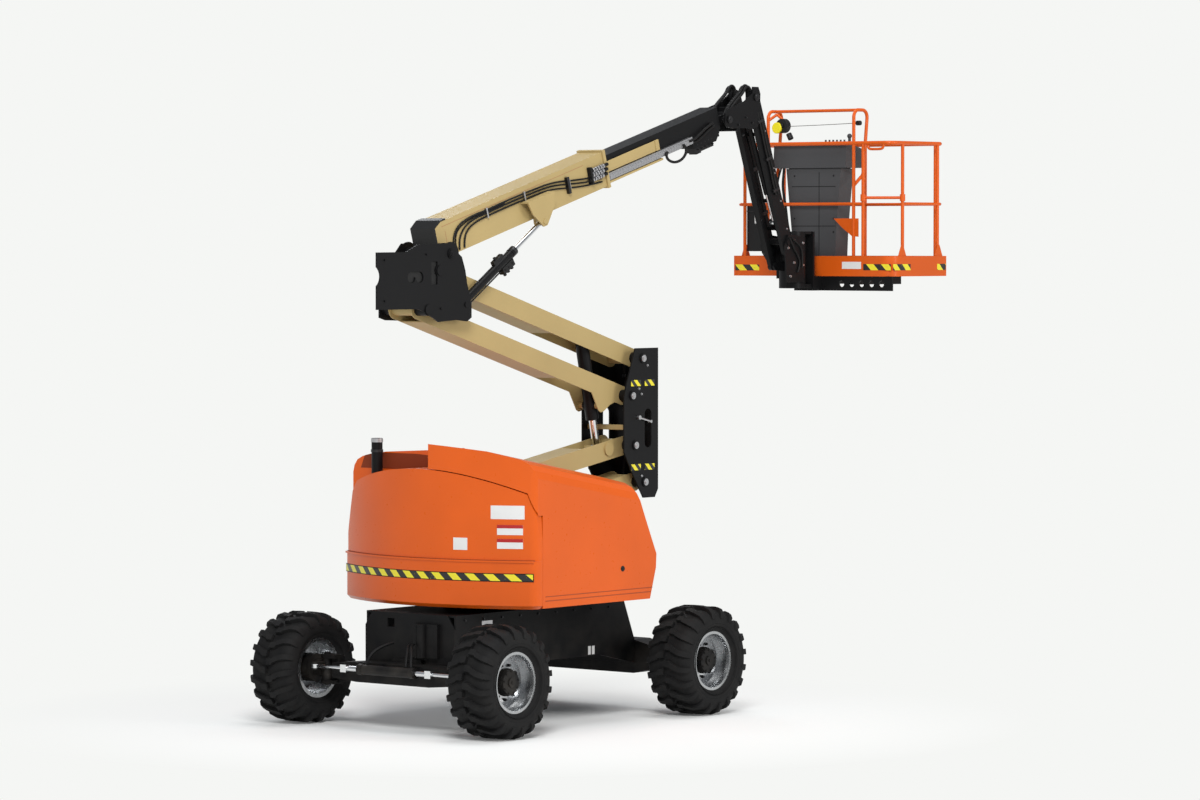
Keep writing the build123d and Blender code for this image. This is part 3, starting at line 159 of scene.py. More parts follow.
def paint(name, colour, rough=0.35, coat=0.5, grime=0.3, dust_top=0.9, shine=0.35):
    """Sprayed enamel: faint mottling, orange peel, and dust that gathers low on the machine."""
    look = Look(name, rough, 0.0, coat, shine)
    broad = look.noise(1.6, 4.0)
    fine = look.noise(38.0, 5.0)
    base = look.mix(broad.ramp(0.3, 0.75), shade(colour, 0.93), shade(colour, 1.06))
    specks = (fine.ramp(0.62, 0.78) * (broad.ramp(0.45, 0.7))) * grime
    base = look.mix(specks, base, shade(colour, 0.72))
    low = look.axis("Z").ramp(dust_top, 0.05)
    dust = low * look.noise(7.0, 6.0).ramp(0.35, 0.8) * (grime * 0.55)
    base = look.mix(dust, base, (0.30, 0.26, 0.21))
    look.feed("Base Color", base)
    look.feed("Roughness", fine * 0.14 + dust * 0.4 + (rough - 0.07))
    look.bump(look.noise(260.0, 2.0), 0.10, 0.0006)
    return look.mat


def rubber(name, tone=0.009, rough=0.72):
    look = Look(name, rough, shine=0.15)
    mottle = look.noise(9.0, 6.0)
    colour = look.mix(mottle.ramp(0.3, 0.8), (tone, tone, tone * 1.05), (tone * 1.9, tone * 1.85, tone * 1.8))
    look.feed("Base Color", colour)
    look.feed("Roughness", mottle * 0.2 + (rough - 0.1))
    look.bump(look.noise(180.0, 4.0), 0.25, 0.0012)
    return look.mat


def metal(name, colour, rough=0.3, grain=(40.0, 40.0, 40.0)):
    look = Look(name, rough, 1.0)
    streak = look.noise(6.0, 5.0, grain)
    look.feed("Base Color", look.mix(streak, shade(colour, 0.82), shade(colour, 1.08)))
    look.feed("Roughness", streak * 0.18 + (rough - 0.08))
    look.bump(streak, 0.05, 0.0004)
    return look.mat


def plastic(name, colour, rough=0.55, texture=320.0):
    look = Look(name, rough, shine=0.3)
    broad = look.noise(3.0, 4.0)
    look.feed("Base Color", look.mix(broad, shade(colour, 0.88), shade(colour, 1.12)))
    look.feed("Roughness", broad * 0.12 + (rough - 0.06))
    look.bump(look.noise(texture, 2.0), 0.22, 0.0008)
    return look.mat


def hazard(name, pitch, first, second, run_axis="Y", slope=1.0, angle=None):
    """Diagonal stripes of two colours along one axis, or round the swing axis."""
    look = Look(name, 0.4, 0.0, 0.2)
    if angle:
        around = look.axis("Y").op("ARCTAN2", look.axis("X") * -1.0)
        run = around * angle
    else:
        run = look.axis(run_axis)
    band = (run + look.axis("Z") * slope) / pitch
    second_half = band.op("FRACT").over(0.5)
    wear = look.noise(55.0, 4.0).ramp(0.66, 0.74) * 0.5
    colour = look.mix(second_half, first, second)
    look.feed("Base Color", look.mix(wear, colour, shade(first, 0.6)))
    look.feed("Roughness", wear * 0.3 + 0.36)
    return look.mat


ORANGE = (0.69, 0.104, 0.006)
TAN = (0.435, 0.325, 0.140)
BLACK = (0.0065, 0.0065, 0.0070)
YELLOW = (0.80, 0.70, 0.02)
BLACK_TONE = (0.010, 0.010, 0.010)

MAT = {
    "orange_paint": paint("orange_enamel", ORANGE, 0.30, 0.10, 0.12, 0.6, 0.26),
    "platform_orange": paint("platform_orange", (0.66, 0.100, 0.006), 0.38, 0.08, 0.3, 0.9, 0.25),
    "tan_paint": paint("tan_enamel", TAN, 0.50, 0.0, 0.25, 0.9, 0.25),
    "black_paint": paint("black_enamel", BLACK, 0.42, 0.03, 0.35, 0.9, 0.13),
    "frame_grey": paint("frame_black", BLACK, 0.50, 0.02, 0.2, 0.9, 0.14),
    "rubber": rubber("tyre_rubber"),
    "hose_rubber": rubber("hose_rubber", 0.008, 0.5),
    "rim_silver": metal("rim_silver", (0.50, 0.51, 0.52), 0.26, (4.0, 4.0, 4.0)),
    "chrome": metal("hard_chrome", (0.80, 0.81, 0.82), 0.14),
    "steel": metal("plated_steel", (0.55, 0.55, 0.56), 0.36),
    "dark_steel": metal("dark_steel", (0.055, 0.055, 0.057), 0.42),
    "grey_plastic": plastic("grey_plastic", (0.060, 0.060, 0.063), 0.5),
    "black_plastic": plastic("black_plastic", (0.008, 0.008, 0.0085), 0.42),
    "label_white": plastic("label_white", (0.72, 0.72, 0.71), 0.4, 90.0),
    "label_red": plastic("label_red", (0.42, 0.02, 0.02), 0.4, 90.0),
    "yellow": plastic("yellow_plastic", YELLOW, 0.4),
    # painted shade: dark orange for shaded grooves, creases and the line above the tail's ledge
    "orange_shadow": paint("orange_painted_groove_shade", (0.36, 0.055, 0.007), 0.5, 0.1, 0.2),
    "red_line": paint("scribed_line", (0.34, 0.115, 0.055), 0.5, 0.1, 0.2),
    # painted shade of the far hood's inner wall
    "painted_wall_shade": plastic("hood_wall_painted_shade", (0.20, 0.032, 0.006), 0.7),
    # dark seams on the console, and painted shade behind the upper upright's openings
    "dark_line": plastic("dark_seam_and_painted_shade", (0.010, 0.010, 0.010), 0.6),
    "steel_wire": metal("wire_rope", (0.30, 0.30, 0.29), 0.45, (300.0, 300.0, 300.0)),
    "tail_hazard": hazard("tail_stripes", 0.140, YELLOW, BLACK_TONE, slope=-1.0, angle=1.0),
    "side_hazard": hazard("upright_stripes", 0.086, YELLOW, BLACK_TONE, run_axis="X", slope=1.0),
    "toe_hazard_y": hazard("toe_stripes_y", 0.150, YELLOW, BLACK_TONE, run_axis="Y", slope=-1.0),
    "toe_hazard_x": hazard("toe_stripes_x", 0.150, YELLOW, BLACK_TONE, run_axis="X", slope=1.0),
}


def dress(node, material):
    """Give a CAD node's slots one material."""
    thing = frame["nodes"][node]
    for place in thing.material_slots:
        place.material = MAT[material]


for row in frame["record"]["subparts"]:
    dress(row["node"], row["material_slot"])

# nodes whose look differs from their slot's
for node in ("platform_floor", "platform_rails", "entry_bar"):
    dress(node, "platform_orange")
dress("boom_collar", "tan_paint")

# ---------------------------------------- mesh helpers
SHEET = 0.0012  # thickness of stickers, plates and seams


def piece(name, bm, material, body, smooth=True, bevel=0.0):
    """Turn a bmesh into an object that rides on a body."""
    mesh = bpy.data.meshes.new(name)
    bmesh.ops.recalc_face_normals(bm, faces=bm.faces)
    if smooth:
        for face in bm.faces:
            face.smooth = True
    bm.to_mesh(mesh)
    bm.free()
    thing = bpy.data.objects.new(name, mesh)
    bpy.context.scene.collection.objects.link(thing)
    mesh.materials.append(MAT[material])
    if smooth:
        mesh.set_sharp_from_angle(angle=math.radians(35))
    if bevel:
        mod = thing.modifiers.new("edge", "BEVEL")
        mod.width = bevel
        mod.segments = 2
        mod.limit_method = "ANGLE"
        mod.angle_limit = math.radians(40)
    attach(thing, body)
    return thing


def add_prism(bm, ring, reach):
    """Close a ring of points and extrude it by a vector."""
    low = [bm.verts.new(p) for p in ring]
    high = [bm.verts.new(Vector(p) + Vector(reach)) for p in ring]
    bm.faces.new(low[::-1])
    bm.faces.new(high)
    count = len(ring)
    for i in range(count):
        bm.faces.new((low[i], low[(i + 1) % count], high[(i + 1) % count], high[i]))


def add_box(bm, low, high):
    (x0, y0, z0), (x1, y1, z1) = low, high
    add_prism(bm, [(x0, y0, z0), (x1, y0, z0), (x1, y1, z0), (x0, y1, z0)], (0, 0, z1 - z0))


def skin(bm, rows):
    """Faces along rows of four points, closed at both ends."""
    for a, b in zip(rows, rows[1:]):
        for k in range(4):
            n = (k + 1) % 4
            bm.faces.new((a[k], a[n], b[n], b[k]))
    bm.faces.new(rows[0])
    bm.faces.new(rows[-1][::-1])


def face_plate(bm, axis, where, a0, a1, z0, z1, thick):
    """Thin plate on a wall of constant x or y."""
    if axis == "x":
        add_prism(bm, [(where, a0, z0), (where, a1, z0), (where, a1, z1), (where, a0, z1)], (thick, 0, 0))
    else:
        add_prism(bm, [(a0, where, z0), (a1, where, z0), (a1, where, z1), (a0, where, z1)], (0, thick, 0))


def heading(degrees):
    """Unit vectors along and square to a direction in the XZ plane."""
    angle = math.radians(degrees)
    along = Vector((math.cos(angle), 0, math.sin(angle)))
    return along, Vector((-along.z, 0, along.x))


def frame_of(direction):
    """Two unit vectors square to a direction."""
    d = Vector(direction).normalized()
    side = d.cross(Vector((0, 0, 1)))
    if side.length < 0.01:
        side = Vector((1, 0, 0))
    side.normalize()
    return side, side.cross(d).normalized()


def add_bar(bm, start, end, radius, sides=16, radius_end=None):
    """Round bar or cone with flat ends."""
    a, b = Vector(start), Vector(end)
    u, v = frame_of(b - a)
    rings = []
    for centre, r in ((a, radius), (b, radius if radius_end is None else radius_end)):
        ring = []
        for i in range(sides):
            turn = 2 * math.pi * i / sides
            ring.append(bm.verts.new(centre + (u * math.cos(turn) + v * math.sin(turn)) * r))
        rings.append(ring)
    bm.faces.new(rings[0][::-1])
    bm.faces.new(rings[1])
    for i in range(sides):
        j = (i + 1) % sides
        bm.faces.new((rings[0][i], rings[0][j], rings[1][j], rings[1][i]))


def add_nut(bm, centre, direction, size, thick):
    """Hexagon head with a washer under it."""
    c = Vector(centre)
    d = Vector(direction).normalized()
    add_bar(bm, c, c + d * thick * 0.3, size * 0.72, 14)
    add_bar(bm, c + d * thick * 0.3, c + d * thick, size * 0.56, 6)


def hose(name, points, radius, body, material="hose_rubber"):
    """Smooth tube through control points, as a curve."""
    data = bpy.data.curves.new(name, "CURVE")
    data.dimensions = "3D"
    data.bevel_depth = radius
    data.bevel_resolution = 3
    data.resolution_u = 8
    data.use_fill_caps = True
    spline = data.splines.new("NURBS")
    spline.points.add(len(points) - 1)
    for place, point in zip(spline.points, points):
        place.co = (point[0], point[1], point[2], 1.0)
    spline.order_u = 3
    spline.use_endpoint_u = True
    thing = bpy.data.objects.new(name, data)
    bpy.context.scene.collection.objects.link(thing)
    data.materials.append(MAT[material])
    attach(thing, body)


# ---------------------------------------- repeats


def number_of(tree, name):
    """Identifier of a named input of a node tree."""
    return next(item.identifier for item in tree.interface.items_tree if item.name == name)


def repeat_tree():
    """Geometry Nodes: copies of a seed shape, each turned about Y and shifted from the last."""
    tree = bpy.data.node_groups.new("repeat_along_or_round", "GeometryNodeTree")
    inputs = {"Seed": "Geometry", "Count": "Int", "Turn": "Float", "Step": "Vector", "Finish": "Material"}
    for name, kind in inputs.items():
        tree.interface.new_socket(name, in_out="INPUT", socket_type="NodeSocket" + kind)
    tree.interface.new_socket("Geometry", in_out="OUTPUT", socket_type="NodeSocketGeometry")
    nodes, link = tree.nodes, tree.links.new
    given = nodes.new("NodeGroupInput")
    line = nodes.new("GeometryNodeMeshLine")
    line.mode = "OFFSET"
    link(given.outputs["Count"], line.inputs["Count"])
    link(given.outputs["Step"], line.inputs["Offset"])
    index = nodes.new("GeometryNodeInputIndex")
    angle = nodes.new("ShaderNodeMath")
    angle.operation = "MULTIPLY"
    link(index.outputs[0], angle.inputs[0])
    link(given.outputs["Turn"], angle.inputs[1])
    turned = nodes.new("ShaderNodeCombineXYZ")
    link(angle.outputs[0], turned.inputs["Y"])
    copies = nodes.new("GeometryNodeInstanceOnPoints")
    link(line.outputs[0], copies.inputs["Points"])
    link(given.outputs["Seed"], copies.inputs["Instance"])
    link(turned.outputs[0], copies.inputs["Rotation"])
    real = nodes.new("GeometryNodeRealizeInstances")
    link(copies.outputs[0], real.inputs[0])
    finish = nodes.new("GeometryNodeSetMaterial")
    link(real.outputs[0], finish.inputs["Geometry"])
    link(given.outputs["Finish"], finish.inputs["Material"])
    result = nodes.new("NodeGroupOutput")
    link(finish.outputs[0], result.inputs[0])
    return tree


REPEAT = repeat_tree()


def repeated(seed, count, turn=0.0, step=(0.0, 0.0, 0.0)):
    """Run the repeat tree on a small mesh and hand back the plain result."""
    mesh = bpy.data.meshes.new("seed")
    seed.to_mesh(mesh)
    seed.free()
    thing = bpy.data.objects.new("seed", mesh)
    bpy.context.scene.collection.objects.link(thing)
    mod = thing.modifiers.new("repeat", "NODES")
    mod.node_group = REPEAT
    mod[number_of(REPEAT, "Count")] = count
    mod[number_of(REPEAT, "Turn")] = turn
    mod[number_of(REPEAT, "Step")] = step
    mod[number_of(REPEAT, "Finish")] = MAT["steel"]
    solved = thing.evaluated_get(bpy.context.evaluated_depsgraph_get())
    plain = bpy.data.meshes.new_from_object(solved)
    bm = bmesh.new()
    bm.from_mesh(plain)
    for face in bm.faces:
        face.material_index = 0
    bpy.data.objects.remove(thing)
    bpy.data.meshes.remove(mesh)
    bpy.data.meshes.remove(plain)
    return bm


def joined(*parts):
    """One bmesh from several."""
    whole = bmesh.new()
    for part in parts:
        mesh = bpy.data.meshes.new("part")
        part.to_mesh(mesh)
        part.free()
        whole.from_mesh(mesh)
        bpy.data.meshes.remove(mesh)
    return whole


def bolt_seed(centre, direction, size, thick):
    bm = bmesh.new()
    add_nut(bm, centre, direction, size, thick)
    return bm


# ---------------------------------------- wheels
WHEELS = {"steer_left": 1, "steer_right": -1, "drive_left": 1, "drive_right": -1}
tyre_low, tyre_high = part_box("tyre_drive_left")
TYRE_R = (tyre_high[2] - tyre_low[2]) / 2
TYRE_HALF = (tyre_high[1] - tyre_low[1]) / 2
LUG_DEPTH = 0.030
LUGS = 20  # bars on each half of the tread
FOOT_SPREAD = 1.18  # a bar is this much wider at its foot
TYRE_SIDES = 80
WHEEL_BOLTS = 9
rim_low, rim_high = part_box("rim_drive_left")
BEAD_R = (rim_high[2] - rim_low[2]) / 2


def wheel_point(w, r, turn):
    """Across the tyre, out from the axle, and round it."""
    return Vector((r * math.sin(turn), w, r * math.cos(turn)))


def add_ring(bm, profile, sides):
    """Closed revolved profile of (across, radius)."""
    rings = []
    for i in range(sides):
        turn = 2 * math.pi * i / sides
        rings.append([bm.verts.new(wheel_point(w, r, turn)) for w, r in profile])
    for i in range(sides):
        a, b = rings[i], rings[(i + 1) % sides]
        for j in range(len(profile)):
            k = (j + 1) % len(profile)
            bm.faces.new((a[j], a[k], b[k], b[j]))


def add_lug(bm, side, turn):
    """One tread bar: straight by the middle, swept back towards the shoulder, and down its side."""
    r = TYRE_R
    h = TYRE_HALF
    base = r - LUG_DEPTH
    # across and radius at the top, across and radius at the foot, then sweep and half width in degrees
    stations = (
        (0.004, r, 0.004, base - 0.012, 0.0, 3.3),
        (0.055, r, 0.055, base - 0.012, 0.6, 3.2),
        (0.068, r, 0.068, base - 0.012, 2.6, 2.9),
        (h - 0.075, r - 0.002, h - 0.075, base - 0.014, 5.6, 2.7),
        (h - 0.030, r - 0.016, h - 0.055, base - 0.035, 6.8, 2.9),
        (h - 0.004, r - 0.048, h - 0.040, r - 0.085, 7.2, 3.0),
        (h + 0.000, r - 0.088, h - 0.030, r - 0.110, 7.4, 2.7),
    )
    rows = []
    for top_w, top_r, low_w, low_r, sweep, half in stations:
        middle = turn + math.radians(sweep)
        spread = math.radians(half)
        rows.append([bm.verts.new(wheel_point(side * w, q, middle + spread * reach)) for w, q, reach in
                     ((low_w, low_r, -FOOT_SPREAD), (top_w, top_r, -1), (top_w, top_r, 1),
                      (low_w, low_r, FOOT_SPREAD))])
    skin(bm, rows)


def tyre_mesh():
    bm = bmesh.new()
    r = TYRE_R
    h = TYRE_HALF
    half = [
        (h - 0.052, BEAD_R - 0.020), (h - 0.040, BEAD_R + 0.004), (h - 0.030, BEAD_R + 0.022),
        (h - 0.014, BEAD_R + 0.040), (h - 0.010, BEAD_R + 0.046), (h - 0.006, BEAD_R + 0.075),
        (h - 0.009, r - 0.085), (h - 0.022, r - 0.055), (h - 0.050, r - 0.036), (h - 0.090, r - LUG_DEPTH),
    ]
    profile = half + [(-w, q) for w, q in reversed(half)]
    add_ring(bm, profile, TYRE_SIDES)
    # raised beads on both sidewalls
    for side in (1, -1):
        for q in (BEAD_R + 0.030, BEAD_R + 0.062):
            w = side * (h - 0.0105)
            peak = w + 0.0025 * side + 0.0015
            add_ring(bm, [(w - 0.004, q - 0.003), (peak, q), (w - 0.004, q + 0.003)], TYRE_SIDES)
    near_lug = bmesh.new()
    add_lug(near_lug, 1, 0.0)
    far_lug = bmesh.new()
    add_lug(far_lug, -1, math.pi / LUGS)
    step = 2 * math.pi / LUGS
    return joined(bm, repeated(near_lug, LUGS, step), repeated(far_lug, LUGS, step))


def dark_hub():
    """Black hub cover with a stepped face and its bolts."""
    bm = bmesh.new()
    face = TYRE_HALF - 0.086
    add_ring(bm, [(0.050, 0.060), (0.050, 0.104), (face - 0.030, 0.101), (face - 0.012, 0.092),
                  (face, 0.090), (face + 0.003, 0.070), (face + 0.003, 0.0005), (face - 0.01, 0.0005)], 48)
    add_bar(bm, (0, face, 0), (0, face + 0.014, 0), 0.036, 24)
    add_bar(bm, (0, face + 0.014, 0), (0, face + 0.020, 0), 0.012, 6)
    bolts = repeated(bolt_seed(wheel_point(face, 0.080, 0.0), (0, 1, 0), 0.011, 0.009),
                     WHEEL_BOLTS, 2 * math.pi / WHEEL_BOLTS)
    return joined(bm, bolts)


def disc_nuts():
    """Lug nuts round the hub on the dished disc, the valve, and a ring of inner bolts."""
    bm = bmesh.new()
    add_bar(bm, wheel_point(0.060, 0.185, 0.4), wheel_point(0.105, 0.178, 0.4), 0.005, 10)
    step = 2 * math.pi / WHEEL_BOLTS
    outer = bolt_seed(wheel_point(0.052, 0.128, step / 2), (0, 1, 0), 0.017, 0.020)
    inner = bolt_seed(wheel_point(0.030, 0.140, step / 2), (0, -1, 0), 0.014, 0.016)
    return joined(bm, repeated(outer, WHEEL_BOLTS, step), repeated(inner, WHEEL_BOLTS, step))


WHEEL_PIECES = (("tyre_tread_", tyre_mesh, "rubber"), ("hub_cover_", dark_hub, "black_paint"),
                ("wheel_nuts_", disc_nuts, "dark_steel"))
for corner, side in WHEELS.items():
    body = "wheel_" + corner
    centre = at("wheel_spin_" + corner)
    place = Matrix.Translation(centre) @ Matrix.Rotation(0.0 if side > 0 else math.pi, 4, "Z")
    for name, build, material in WHEEL_PIECES:
        bm = build()
        bm.transform(place)
        made = piece(name + corner, bm, material, body)
        if build is tyre_mesh:
            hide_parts("tyre_" + corner)

# ---------------------------------------- tail and hoods
TAIL_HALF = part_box("tail_cover")[1][1]
TAIL_BACK = -0.985
TAIL_CORNER = -0.700
BULGE = TAIL_CORNER - TAIL_BACK
TAIL_ARC = (TAIL_HALF ** 2 + BULGE ** 2) / (2 * BULGE)


def tail_x(y, proud):
    """X of the tail's curved back at a width, standing proud by a little."""
    r = TAIL_ARC + proud
    return TAIL_BACK + TAIL_ARC - math.sqrt(r * r - y * y)


def tail_plate(name, y0, y1, z0, z1, proud, material, thick=SHEET, steps=8):
    """Thin plate that follows the tail's curve."""
    bm = bmesh.new()
    rows = []
    for i in range(steps + 1):
        y = y0 + (y1 - y0) * i / steps
        row = []
        for x, z in ((tail_x(y, proud), z0), (tail_x(y, proud + thick), z0),
                     (tail_x(y, proud + thick), z1), (tail_x(y, proud), z1)):
            row.append(bm.verts.new((x, y, z)))
        rows.append(row)
    skin(bm, rows)
    piece(name, bm, material, "turntable", smooth=False)


BAND_PROUD = TAIL_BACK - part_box("counterweight")[0][0]
tail_plate("tail_stripe", -0.925, 0.925, 1.120, 1.170, BAND_PROUD, "tail_hazard", steps=60)
tail_plate("tail_stripe_backing", -0.930, 0.930, 1.114, 1.176, BAND_PROUD, "black_paint", 0.0006, 60)
for name, y0, y1, z0, z1, proud, material in (
        ("top", -0.864, -0.634, 1.575, 1.675, 0.0, "label_white"),
        ("middle", -0.854, -0.679, 1.459, 1.533, 0.0, "label_white"),
        ("middle_head", -0.854, -0.679, 1.508, 1.533, 0.0008, "label_red"),
        ("low", -0.854, -0.679, 1.357, 1.430, 0.0, "label_white"),
        ("low_head", -0.854, -0.679, 1.405, 1.430, 0.0008, "label_red"),
        ("small", -0.457, -0.344, 1.342, 1.432, 0.0, "label_white")):
    tail_plate("tail_plate_" + name, y0, y1, z0, z1, proud, material)

HOOD_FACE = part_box("hood_right")[0][1]


def strip(name, points, width, thick, face_y, material, body, outward=-1.0):
    """Flat strip on a face of constant y, along points (x, z)."""
    bm = bmesh.new()
    for (xa, za), (xb, zb) in zip(points, points[1:]):
        run = Vector((xb - xa, 0, zb - za)).normalized()
        up = Vector((-run.z, 0, run.x)) * (width / 2)
        a = Vector((xa, face_y, za)) - run * width * 0.3
        b = Vector((xb, face_y, zb)) + run * width * 0.3
        add_prism(bm, [a - up, b - up, b + up, a + up], (0, outward * thick, 0))
    piece(name, bm, material, body, smooth=False)


def tail_strip(name, points, width, proud, thick, material, body):
    """Narrow strip on the tail's curve through points (y, z)."""
    bm = bmesh.new()
    rows = []
    fine = []
    for (ya, za), (yb, zb) in zip(points, points[1:]):
        for i in range(6):
            f = i / 6
            fine.append((ya + (yb - ya) * f, za + (zb - za) * f))
    fine.append(points[-1])
    for i, (y, z) in enumerate(fine):
        before = fine[max(0, i - 1)]
        after = fine[min(len(fine) - 1, i + 1)]
        run = Vector((after[0] - before[0], after[1] - before[1])).normalized()
        side = Vector((-run.y, run.x)) * (width / 2)
        row = []
        for sign, lift in ((-1, 0.0), (-1, thick), (1, thick), (1, 0.0)):
            p = Vector((y, z)) + side * sign
            row.append(bm.verts.new((tail_x(p.x, proud + lift), p.x, p.y)))
        rows.append(row)
    skin(bm, rows)
    piece(name, bm, material, body, smooth=False)


# painted shade line along the crease of the near hood's lip, and the rounded ledge on top of the tail's band with
# a painted shade line just above it
LIP = ((-0.120, 2.018), (-0.318, 1.992), (-0.479, 1.963), (-0.644, 1.925), (-0.802, 1.879), (-0.895, 1.833))
tail_strip("hood_lip_crease_painted_shade", LIP, 0.006, SHEET, 0.0010, "orange_shadow", "hood_right")
for name, z, width, proud, thick, material in (
        ("tail_ledge", 1.262, 0.014, BAND_PROUD, 0.007, "orange_paint"),
        ("tail_ledge_shadow", 1.271, 0.006, 0.0, 0.002, "orange_shadow")):
    across = [(-0.930 + 0.0465 * i, z) for i in range(41)]
    tail_strip(name, across, width, proud, thick, material, "turntable")

# dark sheet on the far hood's rear wall: painted shade of the hood's inner wall
(REAR, _, _), (_, FAR_FACE, _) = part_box("hood_left")
WALL_SHADE_OUTLINE = ((0.150, 1.90), (0.150, 2.010), (0.300, 2.020), (0.700, 2.020), (0.820, 1.995), (0.860, 1.90))
bm = bmesh.new()
add_prism(bm, [(REAR, y, z) for y, z in WALL_SHADE_OUTLINE], (-0.002, 0, 0))
piece("hood_left_wall_painted_shade", bm, "painted_wall_shade", "hood_left", smooth=False)

# painted shade lines standing for two moulded grooves along the near hood's skirt, and a latch on each hood
for row, z in enumerate((0.968, 1.000)):
    strip("hood_skirt_groove_painted_shade_%d" % row, [(-0.60, z), (0.635 + 0.02 * row, z)], 0.007, SHEET, HOOD_FACE,
          "orange_shadow", "hood_right")


def latch(name, face, outward, body):
    """Round boss with a flush handle on a hood's side."""
    bm = bmesh.new()
    add_bar(bm, (0.30, face, 1.16), (0.30, face + outward * 0.006, 1.16), 0.022, 24, 0.019)
    low, high = sorted((face + outward * 0.010, face + outward * 0.004))
    add_box(bm, (0.285, low, 1.152), (0.315, high, 1.168))
    piece(name, bm, "black_plastic", body, bevel=0.001)


latch("hood_latch_right", HOOD_FACE, -1, "hood_right")
latch("hood_latch_left", FAR_FACE, 1, "hood_left")

# exhaust: bright rim at its mouth and a clamp below
pipe_low, pipe_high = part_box("exhaust_stack")
pipe = Vector(((pipe_low[0] + pipe_high[0]) / 2, (pipe_low[1] + pipe_high[1]) / 2, 0.0))
PIPE_R = (pipe_high[0] - pipe_low[0]) / 2


def collar(centre, z0, z1, inner, outer, sides=40):
    """Upright ring."""
    bm = bmesh.new()
    add_ring(bm, [(z0, inner), (z1, inner), (z1, outer), (z0, outer)], sides)
    bm.transform(Matrix.Rotation(math.radians(90), 4, "X"))
    bm.transform(Matrix.Translation((centre.x, centre.y, 0.0)))
    return bm


pipe_top = pipe_high[2]
piece("exhaust_rim", collar(pipe, pipe_top - 0.030, pipe_top - 0.001, PIPE_R, PIPE_R + 0.004),
      "steel", "turntable")
piece("exhaust_clamp", collar(pipe, pipe_top - 0.105, pipe_top - 0.085, PIPE_R, PIPE_R + 0.005),
      "dark_steel", "turntable")

# ---------------------------------------- uprights
PLATE_OUT = 0.215  # outside of an upright's plates
PIN_END = 0.225  # ends of the pins that pass through them


def pin_cap(bm, x, z, y, outward, radius):
    """Pin head: a keeper disc, a turned end and a small bolt beside it."""
    add_bar(bm, (x, y, z), (x, y + outward * 0.005, z), radius, 28)
    add_bar(bm, (x, y + outward * 0.005, z), (x, y + outward * 0.010, z), radius * 0.72, 28, radius * 0.66)
    add_bar(bm, (x, y + outward * 0.010, z), (x, y + outward * 0.012, z), radius * 0.2, 12)


bm = bmesh.new()
UP_PINS = ((1.446, 2.705), (1.316, 2.417), (1.354, 2.031), (1.473, 1.741))
for side in (-1, 1):
    for x, z in UP_PINS:
        pin_cap(bm, x, z, side * PIN_END, side, 0.027)
    for x, z in ((1.427, 2.428), (1.395, 2.470), (1.500, 2.650), (1.430, 1.790)):
        add_nut(bm, (x, side * PLATE_OUT, z), (0, side, 0), 0.013, 0.010)
piece("upright_pin_caps", bm, "steel", "centre_upright")

for side, word in ((-1, "near"), (1, "far")):
    bm = bmesh.new()
    for z in (2.490, 1.835):
        for x in (1.300, 1.470):
            face_plate(bm, "y", side * 0.2155, x, x + 0.120, z, z + 0.048, side * 0.001)
    piece("upright_stripes_" + word, bm, "side_hazard", "centre_upright", smooth=False)

# locking lever in the slot
bm = bmesh.new()
add_bar(bm, (1.385, -0.228, 2.246), (1.530, -0.228, 2.212), 0.008, 12)
add_bar(bm, (1.385, -0.216, 2.246), (1.385, -0.238, 2.246), 0.017, 16)
add_bar(bm, (1.530, -0.205, 2.212), (1.530, -0.234, 2.212), 0.012, 16)
piece("slot_lever", bm, "steel", "centre_upright")

# cross bar between the plates
bm = bmesh.new()
add_box(bm, (1.275, -0.202, 2.150), (1.315, 0.202, 2.190))
piece("upright_cross_bar", bm, "tan_paint", "centre_upright", bevel=0.004)

# upper upright: pin heads, bolts, and dark sheets behind its openings that paint the shade inside
bm = bmesh.new()
for side in (-1, 1):
    pin_cap(bm, at("main_lift").x, at("main_lift").z, side * PIN_END, side, 0.030)
piece("boom_pin_caps", bm, "black_paint", "upper_upright")
bm = bmesh.new()
add_box(bm, (-1.330, -0.2028, 3.290), (-1.110, -0.2005, 3.440))
add_box(bm, (-1.060, -0.2028, 3.280), (-0.960, -0.2005, 3.490))
piece("upright_openings_painted_shade", bm, "dark_line", "upper_upright", smooth=False)
bm = bmesh.new()
for x, z in ((-1.560, 3.480), (-1.560, 3.180), (-1.100, 3.520), (-0.940, 3.120)):
    add_nut(bm, (x, -0.215, z), (0, -1, 0), 0.013, 0.010)
piece("upright_bolts", bm, "black_paint", "upper_upright")

# ---------------------------------------- main boom
PIVOT = at("main_lift")
BOOM_DIR, BOOM_UP = heading(16.0)


def on_boom(s, t, y):
    """Point along the boom, square to it, and across."""
    return PIVOT + BOOM_DIR * s + BOOM_UP * t + Vector((0, y, 0))


def boom_box(bm, s0, s1, t0, t1, y0, y1):
    ring = [on_boom(s0, t0, y0), on_boom(s1, t0, y0), on_boom(s1, t1, y0), on_boom(s0, t1, y0)]
    add_prism(bm, ring, (0, y1 - y0, 0))


NEAR_WALL = -0.115
bm = bmesh.new()
boom_box(bm, 0.06, 1.780, 0.188, 0.1905, NEAR_WALL - 0.0008, NEAR_WALL + 0.001)
boom_box(bm, 0.090, 0.0925, 0.020, 0.150, NEAR_WALL - 0.0008, NEAR_WALL + 0.001)
boom_box(bm, 0.06, 1.780, 0.188, 0.1905, -NEAR_WALL - 0.001, -NEAR_WALL + 0.0008)
piece("boom_scribed_lines", bm, "red_line", "main_boom", smooth=False)

